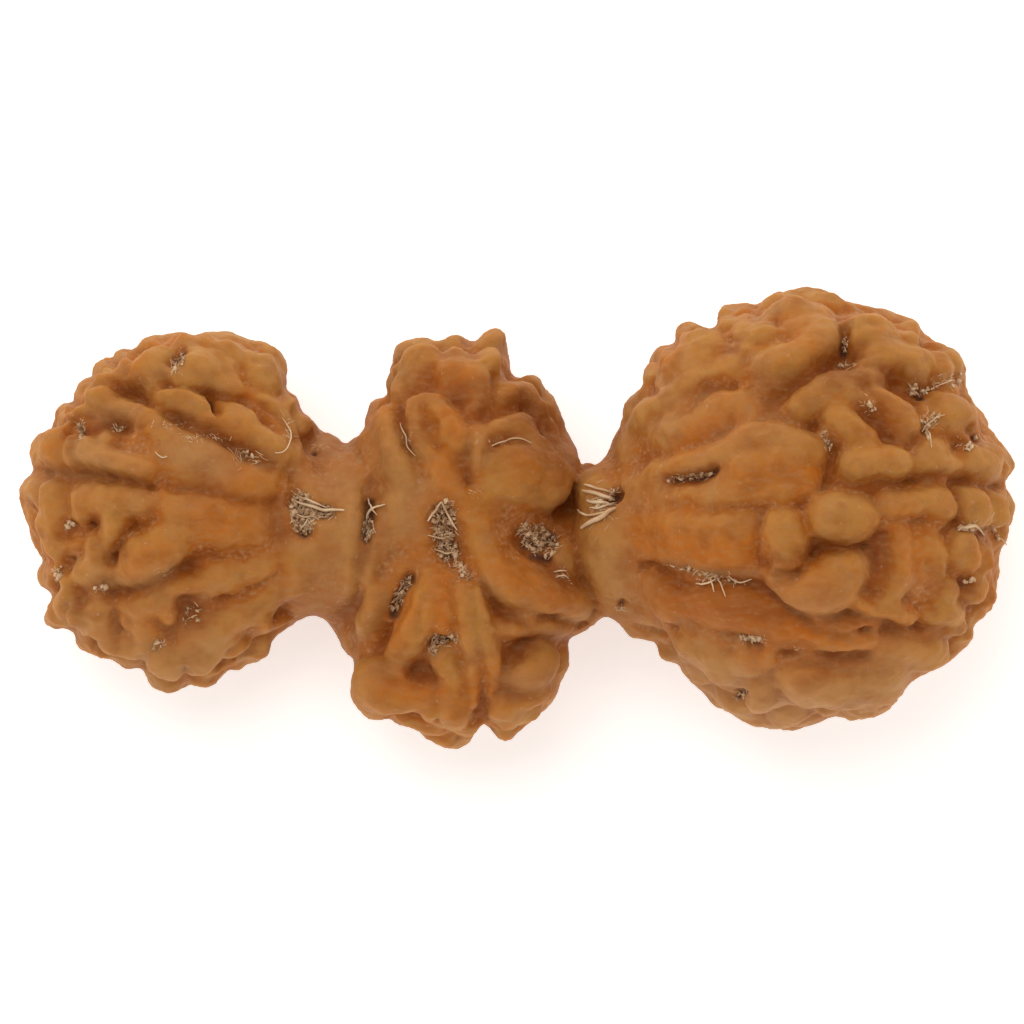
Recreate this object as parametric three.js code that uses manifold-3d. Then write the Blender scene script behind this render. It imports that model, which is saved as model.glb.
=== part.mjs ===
// Three rudraksha stones grown together in a row: a medium one, a squeezed one and a large one.
// Millimetres. +X runs along the row to the large stone, +Z is up, the rest plane is z = 0.
// One solid: ellipsoid bodies flow together, ribs and knobs stand on them, and the seams and
// pits are cut in. A net of rays from the three centres finds the surface.
import * as THREE from "three";
import { mergeVertices } from "three/addons/utils/BufferGeometryUtils.js";
import Module from "manifold-3d";

const KNOB_BLEND = 0.4;
const CUT_BLEND = 0.12;
const ROUND_STEPS = 230;
const UPPER_SHARE = 0.3;
const LOWER_WEIGHT = 0.3;
const FACE_BUDGET = 11700;
const SEED = 4171;

// Bodies, down to the floor of the valleys: centre x, y, z, half lengths along x, y, z,
// and how softly each one flows into those before it. The medium and the squeezed stone:
const ROW_BODIES = [
  [-12.0, 0.3, 6.05, 4.8, 5.7, 5.4, 0],
  [-10.05, 2.8, 6.2, 2.55, 3.0, 3.4, 1.0],
  [-6.3, -0.45, 6.3, 3.6, 2.9, 4.1, 1.2],
  [-2.0, 1.0, 6.2, 3.8, 4.8, 4.9, 0.9],
  [-2.0, -2.7, 6.1, 4.0, 4.3, 4.7, 1.1],
  [-4.1, -4.9, 6.1, 1.65, 1.95, 3.4, 0.6],
  [-2.2, -5.55, 6.1, 1.4, 2.0, 3.2, 0.5],
  [0.1, -5.4, 6.1, 1.55, 2.05, 3.2, 0.5],
  [0.5, -1.6, 6.2, 2.6, 2.3, 4.0, 0.8],
  [0.7, 1.5, 6.3, 1.6, 1.6, 3.4, 0.8],
];
// The large stone and the collar round its pole:
const LARGE_BODIES = [
  [10.2, 0.35, 7.4, 6.8, 7.1, 6.8, 0],
  [8.25, 1.6, 7.4, 4.7, 5.4, 5.6, 0.8],
  [4.6, -0.7, 7.1, 2.85, 2.75, 3.6, 0.9],
];
const MEETING_BLEND = 0.4;

// Ribs and knobs of the upper side: half width, height, then the plan points of the crest.
const LEFT_KNOBS = [
  [0.42, 0.62, -15.1, 3.6, -14.6, 3.85, -14.0, 3.92, -13.4, 3.75, -12.9, 3.4, -12.5, 3.0],
  [0.28, 0.45, -15.25, 3.85, -15.2, 3.2],
  [0.32, 0.55, -14.6, 2.85, -14.5, 2.5],
  [0.4, 0.7, -15.3, 2.3, -14.5, 2.15, -13.6, 2.1, -12.9, 1.95],
  [0.55, 0.55, -16.5, 2.3, -16.35, 2.75],
  [0.4, 0.5, -15.9, 3.1, -15.65, 2.7],
  [0.42, 0.5, -16.0, 3.65, -15.6, 3.85],
  [0.36, 0.55, -15.1, 4.5, -14.5, 4.5],
  [0.36, 0.5, -14.5, 5.15, -14.3, 5.2],
  [0.4, 0.55, -13.85, 5.5, -13.4, 5.45],
  [0.38, 0.5, -14.2, 4.95, -13.6, 4.95, -13.2, 5.15, -12.7, 5.15],
  [0.38, 0.55, -12.9, 6.0, -12.4, 6.1],
  [0.36, 0.55, -11.9, 6.2, -11.5, 6.1],
  [0.58, 0.6, -11.5, 5.1, -11.0, 5.4],
  [0.38, 0.62, -12.5, 4.65, -11.8, 4.45, -11.2, 4.2, -10.85, 3.9],
  [0.38, 0.5, -10.95, 6.2, -10.3, 6.2],
  [0.36, 0.5, -10.15, 5.6, -10.1, 5.1],
  [0.35, 0.45, -9.55, 5.9],
  [0.42, 0.5, -9.1, 5.8, -8.7, 5.5, -8.45, 5.0],
  [0.4, 0.5, -9.5, 5.15, -9.2, 4.6, -8.8, 4.15, -8.45, 3.85],
  [0.35, 0.45, -8.15, 4.2, -8.0, 3.6, -7.75, 2.9, -7.5, 2.2, -7.35, 1.7],
  [0.3, 0.4, -7.85, 4.0, -7.75, 3.55],
  [0.42, 0.6, -10.2, 3.65, -9.6, 3.6, -9.1, 3.25, -8.65, 2.85, -8.3, 2.4, -8.0, 1.9],
  [0.9, 0.42, -12.3, 2.4, -11.4, 2.4, -10.4, 1.9, -9.4, 1.4, -8.5, 0.95],
  [0.58, 0.6, -15.2, 0.7, -14.2, 0.75, -13.2, 0.6],
  [0.45, 0.6, -15.25, 0.6, -15.35, 0.25],
  [0.5, 0.6, -14.2, 0.5, -14.0, -0.35],
  [0.95, 0.42, -12.5, 0.3, -11.0, 0.1, -9.6, -0.15, -8.8, -0.2],
  [0.42, 0.5, -16.35, 0.7, -16.3, -0.1],
  [0.5, 0.45, -16.4, -0.9],
  [0.55, 0.6, -15.4, -2.0, -14.8, -1.5, -15.0, -0.9],
  [0.6, 0.6, -13.5, -1.7, -12.9, -1.2, -12.2, -0.8],
  [0.55, 0.6, -14.75, -3.4, -14.65, -3.95],
  [0.5, 0.6, -13.45, -3.1, -13.3, -3.6],
  [0.45, 0.5, -12.2, -3.0, -12.1, -3.9],
  [0.3, 0.5, -12.3, -2.55, -11.3, -2.4, -10.95, -2.3],
  [0.36, 0.55, -10.5, -2.3, -9.6, -2.35, -9.0, -2.0, -8.4, -1.5],
  [0.26, 0.35, -13.8, -4.15],
  [0.36, 0.45, -11.3, -4.4, -10.7, -4.3],
  [0.4, 0.55, -10.4, -4.4, -10.0, -3.8, -9.3, -3.2, -8.6, -2.7, -8.2, -2.3],
  [0.35, 0.45, -9.4, -4.2, -8.8, -3.7, -8.3, -3.3],
  [0.36, 0.45, -12.9, -4.6, -12.6, -5.0],
  [0.4, 0.45, -11.5, -5.05],
];
const MIDDLE_KNOBS = [
  [0.48, 0.5, -3.8, 5.7, -3.2, 5.85],
  [0.4, 0.5, -3.8, 5.1],
  [0.4, 0.5, -2.2, 6.0],
  [0.42, 0.55, -0.85, 6.1, -0.75, 5.5],
  [0.34, 0.45, -2.7, 5.4, -2.0, 5.35, -1.5, 5.15, -1.3, 4.6, -1.35, 4.0],
  [0.4, 0.5, -4.75, 3.75],
  [0.36, 0.45, -4.5, 4.0, -4.4, 3.2, -4.3, 2.4, -4.05, 1.6],
  [0.3, 0.6, -3.6, 4.1, -3.7, 3.4, -3.6, 2.8, -3.35, 2.35],
  [0.36, 0.6, -3.5, 4.15, -3.0, 4.15, -2.5, 3.9, -2.2, 3.4, -2.3, 3.0],
  [0.3, 0.45, -1.9, 3.0, -1.95, 2.2],
  [0.3, 0.45, -2.8, 1.9, -2.7, 0.95],
  [0.26, 0.4, -2.15, 1.8, -2.0, 1.1],
  [0.9, 0.4, -5.6, 1.9, -5.0, 1.2],
  [0.3, 0.5, -1.1, 2.3, -0.95, 3.0, -0.45, 3.45, 0.1, 3.45, 0.6, 3.15, 1.0, 2.55, 1.3, 2.1],
  [0.36, 0.5, -0.9, 1.9, -0.7, 2.3, -0.2, 2.45, 0.4, 2.25, 0.9, 2.0, 1.4, 1.65, 2.0, 1.5],
  [0.34, 0.45, -1.0, 1.4, -0.4, 1.7, 0.4, 1.45, 1.1, 0.9],
  [0.4, 0.5, 0.45, 4.6, 0.85, 3.9, 1.3, 3.1, 1.7, 2.3],
  [0.4, 0.45, -1.1, 0.3, -0.3, 0.6, 0.6, 0.5],
  [0.45, 0.6, -3.6, -2.4, -3.8, -3.4, -4.1, -4.3],
  [0.62, 0.65, -4.0, -4.2, -4.1, -4.85],
  [0.36, 0.55, -2.7, -2.1, -2.6, -3.0, -2.6, -3.6],
  [0.5, 0.55, -2.6, -5.2, -2.4, -5.9, -2.4, -6.8],
  [0.36, 0.5, -1.3, -2.3, -1.2, -3.2, -1.15, -4.2, -1.0, -5.0, -1.05, -6.0],
  [0.62, 0.5, -1.3, -0.9, -0.2, -1.8, 0.9, -2.6, 2.0, -3.1],
  [0.36, 0.5, 0.2, -3.9, -0.5, -4.7, -0.3, -5.3],
  [0.5, 0.6, -0.2, -5.2, 0.4, -5.5, 1.0, -5.15, 1.4, -4.8],
  [0.45, 0.5, -0.6, -6.8, 0.2, -6.8, 0.9, -6.4],
  [0.55, 0.5, -5.3, -5.8, -5.0, -6.4],
  [0.5, 0.5, -4.7, -6.1, -4.0, -6.3, -3.5, -6.2],
  [0.38, 0.45, -3.6, -7.0],
  [0.45, 0.5, -2.4, -7.4, -2.1, -7.5],
  [0.4, 0.5, -6.0, -1.6, -5.8, -2.5, -5.6, -3.2],
  [0.4, 0.45, -5.0, -1.7, -4.95, -2.5, -5.15, -3.6, -5.4, -4.4],
  [0.35, 0.45, -0.5, -7.3],
];
const RIGHT_KNOBS = [
  [0.45, 0.5, 4.2, 2.6, 5.8, 3.15, 7.0, 3.6, 8.2, 4.0],
  [0.5, 0.6, 5.5, 4.5, 6.3, 5.1, 7.0, 5.3, 7.8, 5.0],
  [0.4, 0.55, 5.4, 5.2, 6.0, 5.6, 7.2, 6.2],
  [0.35, 0.45, 4.7, 4.7, 5.15, 5.5],
  [0.35, 0.45, 3.8, 3.1, 4.0, 3.8, 4.6, 4.1],
  [0.35, 0.45, 5.9, 6.3, 6.4, 6.3],
  [0.45, 0.6, 7.7, 6.4, 8.2, 6.5, 9.0, 6.6],
  [0.35, 0.45, 7.4, 7.0, 8.2, 7.1],
  [0.5, 0.6, 8.5, 5.6, 9.5, 5.8, 10.2, 6.3, 10.9, 6.8],
  [0.4, 0.45, 9.2, 7.4, 10.6, 7.5],
  [0.5, 0.55, 11.8, 6.9, 13.0, 6.7],
  [0.35, 0.45, 13.3, 6.6, 13.9, 6.45],
  [0.5, 0.6, 12.3, 5.2, 12.8, 5.8, 13.6, 6.0, 14.2, 5.6, 14.2, 4.8],
  [0.42, 0.5, 14.95, 5.5, 15.3, 5.1],
  [0.45, 0.6, 10.0, 4.2, 10.6, 4.7, 11.3, 4.85, 11.8, 4.4],
  [0.5, 0.6, 12.3, 4.5, 13.0, 4.3, 13.6, 3.5],
  [0.58, 0.7, 11.4, 3.2, 12.2, 3.0],
  [0.6, 0.75, 12.1, 1.8, 13.4, 2.1],
  [0.75, 0.5, 4.9, 1.3, 7.5, 2.2, 9.5, 2.5, 10.4, 2.0],
  [0.92, 0.5, 4.0, -0.5, 6.0, -0.7, 8.0, -0.8],
  [0.52, 0.6, 14.4, 2.5, 15.0, 2.3, 15.6, 1.9],
  [0.48, 0.55, 14.8, 3.9, 15.3, 3.9, 15.8, 3.4],
  [0.4, 0.45, 16.3, 2.2, 16.8, 1.8],
  [0.45, 0.65, 13.4, 0.5, 14.4, 0.6, 15.1, 0.7],
  [0.7, 0.8, 10.9, 0.1, 12.1, 0.15],
  [0.52, 0.5, 16.2, 0.3],
  [0.6, 0.65, 9.3, -0.3, 9.3, -0.9],
  [0.58, 0.7, 9.6, -2.3, 10.6, -2.6, 11.4, -2.5, 11.9, -1.7],
  [0.72, 0.5, 4.8, -2.3, 6.0, -2.9, 7.5, -3.4, 9.0, -3.9],
  [0.48, 0.55, 13.6, -0.8, 13.5, -2.5],
  [0.4, 0.5, 14.5, -2.6, 15.2, -1.6],
  [0.42, 0.45, 16.0, -0.7, 16.1, -1.5],
  [0.4, 0.45, 15.8, -2.8, 16.1, -2.4],
  [0.34, 0.5, 12.4, -3.3, 13.2, -3.5, 13.9, -3.4],
  [0.34, 0.45, 14.6, -3.3, 15.2, -3.5],
  [0.52, 0.55, 9.6, -4.2, 11.0, -4.35, 12.4, -4.5],
  [0.48, 0.5, 13.2, -4.6, 14.0, -4.8],
  [0.38, 0.45, 15.1, -4.2],
  [0.66, 0.6, 9.9, -5.8],
  [0.48, 0.5, 11.5, -5.6, 12.2, -6.0],
  [0.38, 0.45, 13.1, -5.7],
  [0.4, 0.45, 6.3, -4.7, 7.0, -5.2],
  [0.42, 0.5, 7.3, -4.95, 8.2, -5.2],
];

// Knobs on the outline: radius, then x, y, z of the centre.
const RIM_KNOBS = [
  [0.4, -17.05, 0.75, 6.0],
  [0.36, -16.9, -0.45, 5.8],
  [0.42, -16.6, 2.4, 6.2],
  [0.32, -16.45, -2.05, 6.2],
  [0.42, -16.1, -3.4, 6.1],
  [0.32, -15.1, -4.2, 6.3],
  [0.3, -14.5, -4.6, 5.8],
  [0.34, -13.55, -4.95, 6.1],
  [0.5, -12.35, -5.65, 6.0],
  [0.45, -14.4, 5.0, 6.2],
  [0.45, -12.4, 5.95, 6.1],
  [0.45, -10.3, 6.0, 6.2],
  [0.45, -11.0, -5.35, 6.3],
  [0.36, -9.5, -4.95, 6.0],
  [0.42, -8.5, 5.35, 6.3],
  [0.36, -7.3, 3.1, 6.2],
  [0.34, -4.2, 5.7, 6.1],
  [0.36, 0.45, 4.6, 6.2],
  [0.45, 1.25, -4.9, 6.1],
  [0.36, -0.4, -7.4, 6.2],
  [0.44, -2.1, -7.6, 6.0],
  [0.42, -5.2, -6.1, 6.2],
  [0.38, -5.0, -6.7, 5.9],
  [0.5, 16.9, 0.3, 7.5],
  [0.42, 17.0, 1.8, 7.3],
  [0.42, 15.9, 3.3, 7.6],
  [0.4, 15.3, 5.1, 7.3],
  [0.5, 10.3, 7.55, 7.4],
  [0.45, 9.2, 7.3, 7.2],
  [0.45, 7.9, 7.05, 7.4],
  [0.42, 11.9, 7.1, 7.5],
  [0.42, 13.3, 6.7, 7.3],
  [0.4, 14.2, 6.1, 7.5],
  [0.45, 6.1, 6.4, 7.4],
  [0.4, 5.0, 5.6, 7.3],
  [0.4, 3.85, 3.7, 7.3],
  [0.42, 16.2, -2.6, 7.3],
  [0.44, 15.3, -4.4, 7.4],
  [0.48, 12.1, -6.6, 7.5],
  [0.5, 9.3, -6.9, 7.2],
  [0.4, 6.6, -5.7, 7.4],
];

// Low knobs under the row that carry it: radius, then x, y, z of the centre.
const FEET = [
  [0.95, 9.6, 2.1, 0.82],
  [0.95, 10.7, -1.7, 0.82],
  [1.0, -12.1, 0.35, 0.86],
];

// Seams: half width, depth, then plan points. Pits: radius, depth, then plan points.
const SEAMS = [
  [0.26, 0.3, -16.7, 1.7, -15.7, 1.55, -14.5, 1.4, -13.0, 1.2, -11.4, 0.95, -9.6, 0.7, -8.1, 0.55],
  [0.24, 0.28, -12.9, 4.0, -12.0, 3.3, -11.0, 3.0, -10.1, 2.5, -9.0, 1.8, -8.2, 1.2],
  [0.24, 0.28, -15.6, -2.6, -14.4, -2.6, -12.9, -2.45, -11.8, -1.85, -10.7, -1.5, -9.5, -1.4, -8.6, -0.9],
  [0.22, 0.25, -10.9, -3.0, -9.8, -2.9, -9.0, -2.5, -8.3, -2.2],
  [0.24, 0.28, -1.9, -1.8, -1.85, -3.0, -1.7, -4.2, -1.6, -5.4, -1.45, -6.6],
  [0.22, 0.28, -1.1, -2.2, -0.8, -2.7, -0.3, -3.2, 0.1, -3.6],
  [0.2, 0.25, -4.0, 3.0, -3.75, 2.4, -3.35, 2.1],
  [0.2, 0.25, 1.4, -1.3, 1.8, -2.2, 2.2, -2.8],
  [0.24, 0.28, 4.5, 1.95, 5.5, 2.35, 7.0, 3.0, 8.3, 3.6, 9.5, 4.4],
  [0.24, 0.25, 4.2, 0.35, 6.5, 0.4, 8.4, 0.4, 9.9, 0.6],
  [0.24, 0.3, 4.4, -1.5, 6.0, -1.85, 8.2, -2.05, 9.0, -2.8, 10.0, -3.4, 12.3, -3.9, 14.2, -4.0, 15.6, -3.8],
  [0.2, 0.22, 4.4, -3.0, 5.5, -3.8, 7.4, -4.5],
];
const PITS = [
  [0.5, 0.8, -7.4, 0.3, -7.2, -0.1],
  [0.28, 0.7, -12.1, 5.1, -11.8, 5.7],
  [0.28, 0.6, -15.05, 2.95],
  [0.26, 0.6, -15.0, -0.15],
  [0.32, 0.6, -5.1, 0.4, -5.25, -0.8],
  [0.4, 0.9, -2.6, 0.2, -2.4, -1.2],
  [0.24, 0.6, -3.8, -2.2, -4.5, -3.5],
  [0.3, 0.6, -2.8, -4.4],
  [0.55, 0.9, 0.6, -0.7, 1.1, -0.6],
  [0.5, 0.3, 3.2, 0.5, 3.0, -0.1],
  [0.34, 0.8, 11.5, 5.8],
  [0.32, 0.6, 8.4, -4.5],
  [0.32, 0.5, 7.8, -6.2],
  [0.26, 0.5, 5.7, 1.35, 7.0, 1.7],
];

// Each stone: centre, the pole line, the knobs round it, the rows of further knobs from pole to pole
// and the stretch of x that those knobs keep to.
const STONES = [
  {
    centre: [-12.0, 0.3, 6.05],
    pole: [0.86, 0.0, 0.51],
    around: 20,
    rows: [-54, -36, -18, 0, 18, 36, 54],
    from: -18,
    to: -7.3,
  },
  {
    centre: [-2.0, -0.8, 6.15],
    pole: [0.0, 0.05, 1.0],
    around: 18,
    rows: [-72, -54, -36, -18, 0, 18, 36],
    from: -5.7,
    to: 1.5,
  },
  {
    centre: [10.2, 0.35, 7.4],
    pole: [-0.98, 0.0, 0.2],
    around: 24,
    rows: [-60, -45, -30, -15, 0, 15, 30, 45, 60],
    from: 4.1,
    to: 18,
  },
];

// The waists between the stones, where one fan of rays hands over to the next: x, y, z.
const WAISTS = [
  [-6.45, -0.4, 6.05],
  [2.3, -0.75, 6.6],
];

function smoothMin(a, b, k) {
  const h = Math.max(k - Math.abs(a - b), 0) / k;
  return Math.min(a, b) - h * h * k * 0.25;
}

function ellipsoidDistance(x, y, z, e) {
  const u = (x - e[0]) / e[3];
  const v = (y - e[1]) / e[4];
  const w = (z - e[2]) / e[5];
  const near = Math.hypot(u, v, w);
  const slope = Math.hypot(u / e[3], v / e[4], w / e[5]);
  return slope > 1e-9 ? (near * (near - 1)) / slope : -Math.min(e[3], e[4], e[5]);
}

function rodDistance(x, y, z, a, b, radius) {
  const dx = b[0] - a[0];
  const dy = b[1] - a[1];
  const dz = b[2] - a[2];
  const long = dx * dx + dy * dy + dz * dz;
  let t = 0;
  if (long > 1e-12) {
    t = ((x - a[0]) * dx + (y - a[1]) * dy + (z - a[2]) * dz) / long;
    t = Math.min(1, Math.max(0, t));
  }
  return Math.hypot(x - a[0] - t * dx, y - a[1] - t * dy, z - a[2] - t * dz) - radius;
}

function groupField(x, y, z, bodies) {
  let f = Infinity;
  for (const e of bodies) {
    const d = ellipsoidDistance(x, y, z, e);
    f = e[6] ? smoothMin(f, d, e[6]) : d;
  }
  return f;
}

function bodyField(x, y, z) {
  return smoothMin(groupField(x, y, z, ROW_BODIES), groupField(x, y, z, LARGE_BODIES), MEETING_BLEND);
}

function bodyNormal(x, y, z) {
  const e = 0.01;
  const g = [
    bodyField(x + e, y, z) - bodyField(x - e, y, z),
    bodyField(x, y + e, z) - bodyField(x, y - e, z),
    bodyField(x, y, z + e) - bodyField(x, y, z - e),
  ];
  const l = Math.hypot(...g);
  return g.map((c) => c / l);
}

// The point of the bare bodies straight under a plan point, or the nearest point of their rim.
function onBody(x, y) {
  let z = 16;
  for (let i = 0; i < 400; i++) {
    const f = bodyField(x, y, z);
    if (f < 1e-3) return [x, y, z];
    z -= Math.max(0.5 * f, 0.02);
    if (z < 6) break;
  }
  let p = [x, y, 6.4];
  for (let i = 0; i < 20; i++) {
    const f = bodyField(...p);
    const n = bodyNormal(...p);
    p = p.map((c, k) => c - 0.8 * f * n[k]);
  }
  return p;
}

// A crest path at a height over the bodies, as rods whose round section meets them at the half width.
function raised(list) {
  const [w, h] = list;
  const radius = (w * w + h * h) / (2 * h);
  const points = [];
  for (let i = 2; i < list.length; i += 2) {
    const p = onBody(list[i], list[i + 1]);
    const n = bodyNormal(...p);
    points.push(p.map((c, k) => c + n[k] * (h - radius)));
  }
  return rods(points, radius);
}

// The same with the round section cut into the bodies.
function sunk(list) {
  const [w, d] = list;
  const radius = (w * w + d * d) / (2 * d);
  const points = [];
  for (let i = 2; i < list.length; i += 2) {
    const p = onBody(list[i], list[i + 1]);
    const n = bodyNormal(...p);
    points.push(p.map((c, k) => c + n[k] * (radius - d)));
  }
  return rods(points, radius);
}

function rods(points, radius) {
  if (points.length === 1) return [{ a: points[0], b: points[0], radius }];
  return points.slice(1).map((b, i) => ({ a: points[i], b, radius }));
}

let state = SEED;
function draw() {
  state = (Math.imul(1664525, state) + 1013904223) >>> 0;
  return state / 4294967296;
}

// The rest of each stone is covered by rows of knobs from pole to pole, long near the poles and
// short at the equator, wherever the ribs and knobs above leave room.
function rowKnobs(stone, placed) {
  const pole = new THREE.Vector3(...stone.pole).normalize();
  const side = new THREE.Vector3(0, 1, 0).cross(pole).normalize();
  const across = pole.clone().cross(side);
  const out = [];
  stone.rows.forEach((row, i) => {
    const polar = Math.abs(row) > 50;
    for (let j = 0; j < stone.around; j++) {
      const turn = (2 * Math.PI * (j + (i % 2) * 0.5 + 0.4 * (draw() - 0.5))) / stone.around;
      const shift = 6 * (draw() - 0.5);
      const half = polar ? 8 : 3 + 2.5 * draw();
      const w = 0.56 + 0.2 * draw();
      const h = 0.5 + 0.16 * draw();
      if (polar && j % 2) continue;
      const points = [-half, half].map((end) => {
        const lat = ((row + shift + end) * Math.PI) / 180;
        const dir = pole
          .clone()
          .multiplyScalar(Math.sin(lat))
          .addScaledVector(side, Math.cos(lat) * Math.cos(turn))
          .addScaledVector(across, Math.cos(lat) * Math.sin(turn));
        return castBody(stone.centre, dir);
      });
      if (points.some((p) => p[0] < stone.from || p[0] > stone.to)) continue;
      const normals = points.map((p) => bodyNormal(...p));
      const upper = normals[0][2] + normals[1][2] > 0.5;
      const size = upper ? 0.7 : 1;
      const radius = (size * (w * w + h * h)) / (2 * h);
      const lifted = points.map((p, k) => p.map((c, m) => c + normals[k][m] * (size * h - radius)));
      const middle = lifted[0].map((c, k) => (c + lifted[1][k]) / 2);
      const crowded = placed.some(
        (r) => rodDistance(...middle, r.a, r.b, r.radius) < (upper ? 0.95 : 0.6) * radius,
      );
      if (crowded) continue;
      out.push({ a: lifted[0], b: lifted[1], radius });
    }
  });
  return out;
}

function castBody(centre, dir) {
  let t = 9.5;
  for (let i = 0; i < 200; i++) {
    const f = bodyField(centre[0] + t * dir.x, centre[1] + t * dir.y, centre[2] + t * dir.z);
    if (f < 1e-3) break;
    t -= Math.max(0.6 * f, 0.004);
  }
  return [centre[0] + t * dir.x, centre[1] + t * dir.y, centre[2] + t * dir.z];
}

const PLACED = [
  ...[...LEFT_KNOBS, ...MIDDLE_KNOBS, ...RIGHT_KNOBS].flatMap(raised),
  ...[...RIM_KNOBS, ...FEET].map((k) => ({ a: k.slice(1), b: k.slice(1), radius: k[0] })),
];
const KNOBS = [...PLACED];
for (const stone of STONES) KNOBS.push(...rowKnobs(stone, KNOBS));
const CUTS = [...SEAMS, ...PITS].flatMap(sunk);
for (const r of [...KNOBS, ...CUTS]) {
  r.middle = r.a.map((c, k) => (c + r.b[k]) / 2);
  r.reach = Math.hypot(...r.a.map((c, k) => c - r.b[k])) / 2 + r.radius;
}

function field(x, y, z, knobs, cuts) {
  let f = bodyField(x, y, z);
  for (const r of knobs) f = smoothMin(f, rodDistance(x, y, z, r.a, r.b, r.radius), KNOB_BLEND);
  for (const r of cuts) f = -smoothMin(-f, rodDistance(x, y, z, r.a, r.b, r.radius), CUT_BLEND);
  return f;
}

// The rods that a ray passes near.
function nearRay(rods, origin, dir) {
  return rods.filter((r) => {
    const v = r.middle.map((c, k) => c - origin[k]);
    const along = v[0] * dir[0] + v[1] * dir[1] + v[2] * dir[2];
    if (along < -r.reach) return false;
    const off = Math.hypot(v[0] - along * dir[0], v[1] - along * dir[1], v[2] - along * dir[2]);
    return off < r.reach + KNOB_BLEND + 0.05;
  });
}

// The outermost point of the surface on a ray, searched inwards from a start distance.
function cast(origin, dir, start) {
  const knobs = nearRay(KNOBS, origin, dir);
  const cuts = nearRay(CUTS, origin, dir);
  const at = (t) =>
    field(origin[0] + t * dir[0], origin[1] + t * dir[1], origin[2] + t * dir[2], knobs, cuts);
  let t = start;
  let before = start;
  for (let i = 0; i < 500; i++) {
    const f = at(t);
    if (f < 0) break;
    before = t;
    t -= Math.max(0.7 * f, 0.015);
  }
  if (before === t) return t;
  let low = t;
  let high = before;
  for (let i = 0; i < 10; i++) {
    const half = (low + high) / 2;
    if (at(half) < 0) low = half;
    else high = half;
  }
  return low;
}

// The net: fans of rays from the three centres, joined at the two waists. At each turn round the
// row a fan sweeps from one end to the next, so no ray crosses into the neighbouring stone.
const turns = Array.from({ length: ROUND_STEPS }, (_, j) => {
  const u = (2 * Math.PI * j) / ROUND_STEPS;
  return u + UPPER_SHARE * Math.sin(u);
});
const rims = WAISTS.map((w) =>
  turns.map((turn) => {
    const dir = [0, Math.sin(turn), -Math.cos(turn)];
    const t = cast(w, dir, 7);
    return w.map((c, k) => c + t * dir[k]);
  }),
);

function between(a, b, t) {
  const angle = a.angleTo(b);
  return a
    .clone()
    .multiplyScalar(Math.sin((1 - t) * angle) / Math.sin(angle))
    .addScaledVector(b, Math.sin(t * angle) / Math.sin(angle));
}

const corners = [];
let ringCount = 0;
function fan(centre, from, to, count, low, high) {
  const aim = (end, j) =>
    (Array.isArray(end) ? new THREE.Vector3(...end[j].map((c, k) => c - centre[k])) : end.clone()).normalize();
  for (let i = 1; i <= count; i++) {
    for (let j = 0; j < ROUND_STEPS; j++) {
      const dir = between(aim(from, j), aim(to, j), i / (count + 1)).toArray();
      let start = 9.6;
      if (dir[0] > 1e-6) start = Math.min(start, (high - centre[0]) / dir[0]);
      if (dir[0] < -1e-6) start = Math.min(start, (low - centre[0]) / dir[0]);
      const t = cast(centre, dir, start);
      corners.push(centre.map((c, k) => c + t * dir[k]));
    }
    ringCount++;
  }
}
function rim(points) {
  corners.push(...points);
  ringCount++;
}
const WEST = new THREE.Vector3(-1, 0, 0);
const EAST = new THREE.Vector3(1, 0, 0);
fan(STONES[0].centre, WEST, rims[0], 100, -Infinity, WAISTS[0][0]);
rim(rims[0]);
fan(STONES[1].centre, rims[0], rims[1], 72, WAISTS[0][0], WAISTS[1][0]);
rim(rims[1]);
fan(STONES[2].centre, rims[1], EAST, 125, WAISTS[1][0], Infinity);
for (const [centre, dir] of [
  [STONES[0].centre, [-1, 0, 0]],
  [STONES[2].centre, [1, 0, 0]],
]) {
  const t = cast(centre, dir, 9.6);
  corners.push(centre.map((c, k) => c + t * dir[k]));
}

const faces = [];
const last = ringCount - 1;
const firstEnd = ringCount * ROUND_STEPS;
for (let j = 0; j < ROUND_STEPS; j++) {
  const k = (j + 1) % ROUND_STEPS;
  faces.push([firstEnd, k, j]);
  faces.push([firstEnd + 1, last * ROUND_STEPS + j, last * ROUND_STEPS + k]);
  for (let i = 0; i < last; i++) {
    const a = i * ROUND_STEPS + j;
    const b = i * ROUND_STEPS + k;
    faces.push([a, b, a + ROUND_STEPS], [b, b + ROUND_STEPS, a + ROUND_STEPS]);
  }
}

// Thins the fine net to the face budget: the edge that costs least shape goes first.
// A corner's shape is the sum of its planes' squared distances, ten numbers of a symmetric form.
function planeForm(a, b, c) {
  const u = b.map((v, k) => v - a[k]);
  const v = c.map((w, k) => w - a[k]);
  let n = [u[1] * v[2] - u[2] * v[1], u[2] * v[0] - u[0] * v[2], u[0] * v[1] - u[1] * v[0]];
  const l = Math.hypot(...n);
  if (l < 1e-12) return null;
  n = n.map((w) => w / l);
  const d = -(n[0] * a[0] + n[1] * a[1] + n[2] * a[2]);
  const w = 0.5 * l * (n[2] < -0.1 ? LOWER_WEIGHT : 1);
  const [x, y, z] = n;
  return [x * x, x * y, x * z, x * d, y * y, y * z, y * d, z * z, z * d, d * d].map((q) => q * w);
}

function formCost(q, p) {
  const [x, y, z] = p;
  return (
    q[0] * x * x + 2 * q[1] * x * y + 2 * q[2] * x * z + 2 * q[3] * x +
    q[4] * y * y + 2 * q[5] * y * z + 2 * q[6] * y + q[7] * z * z + 2 * q[8] * z + q[9]
  );
}

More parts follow.
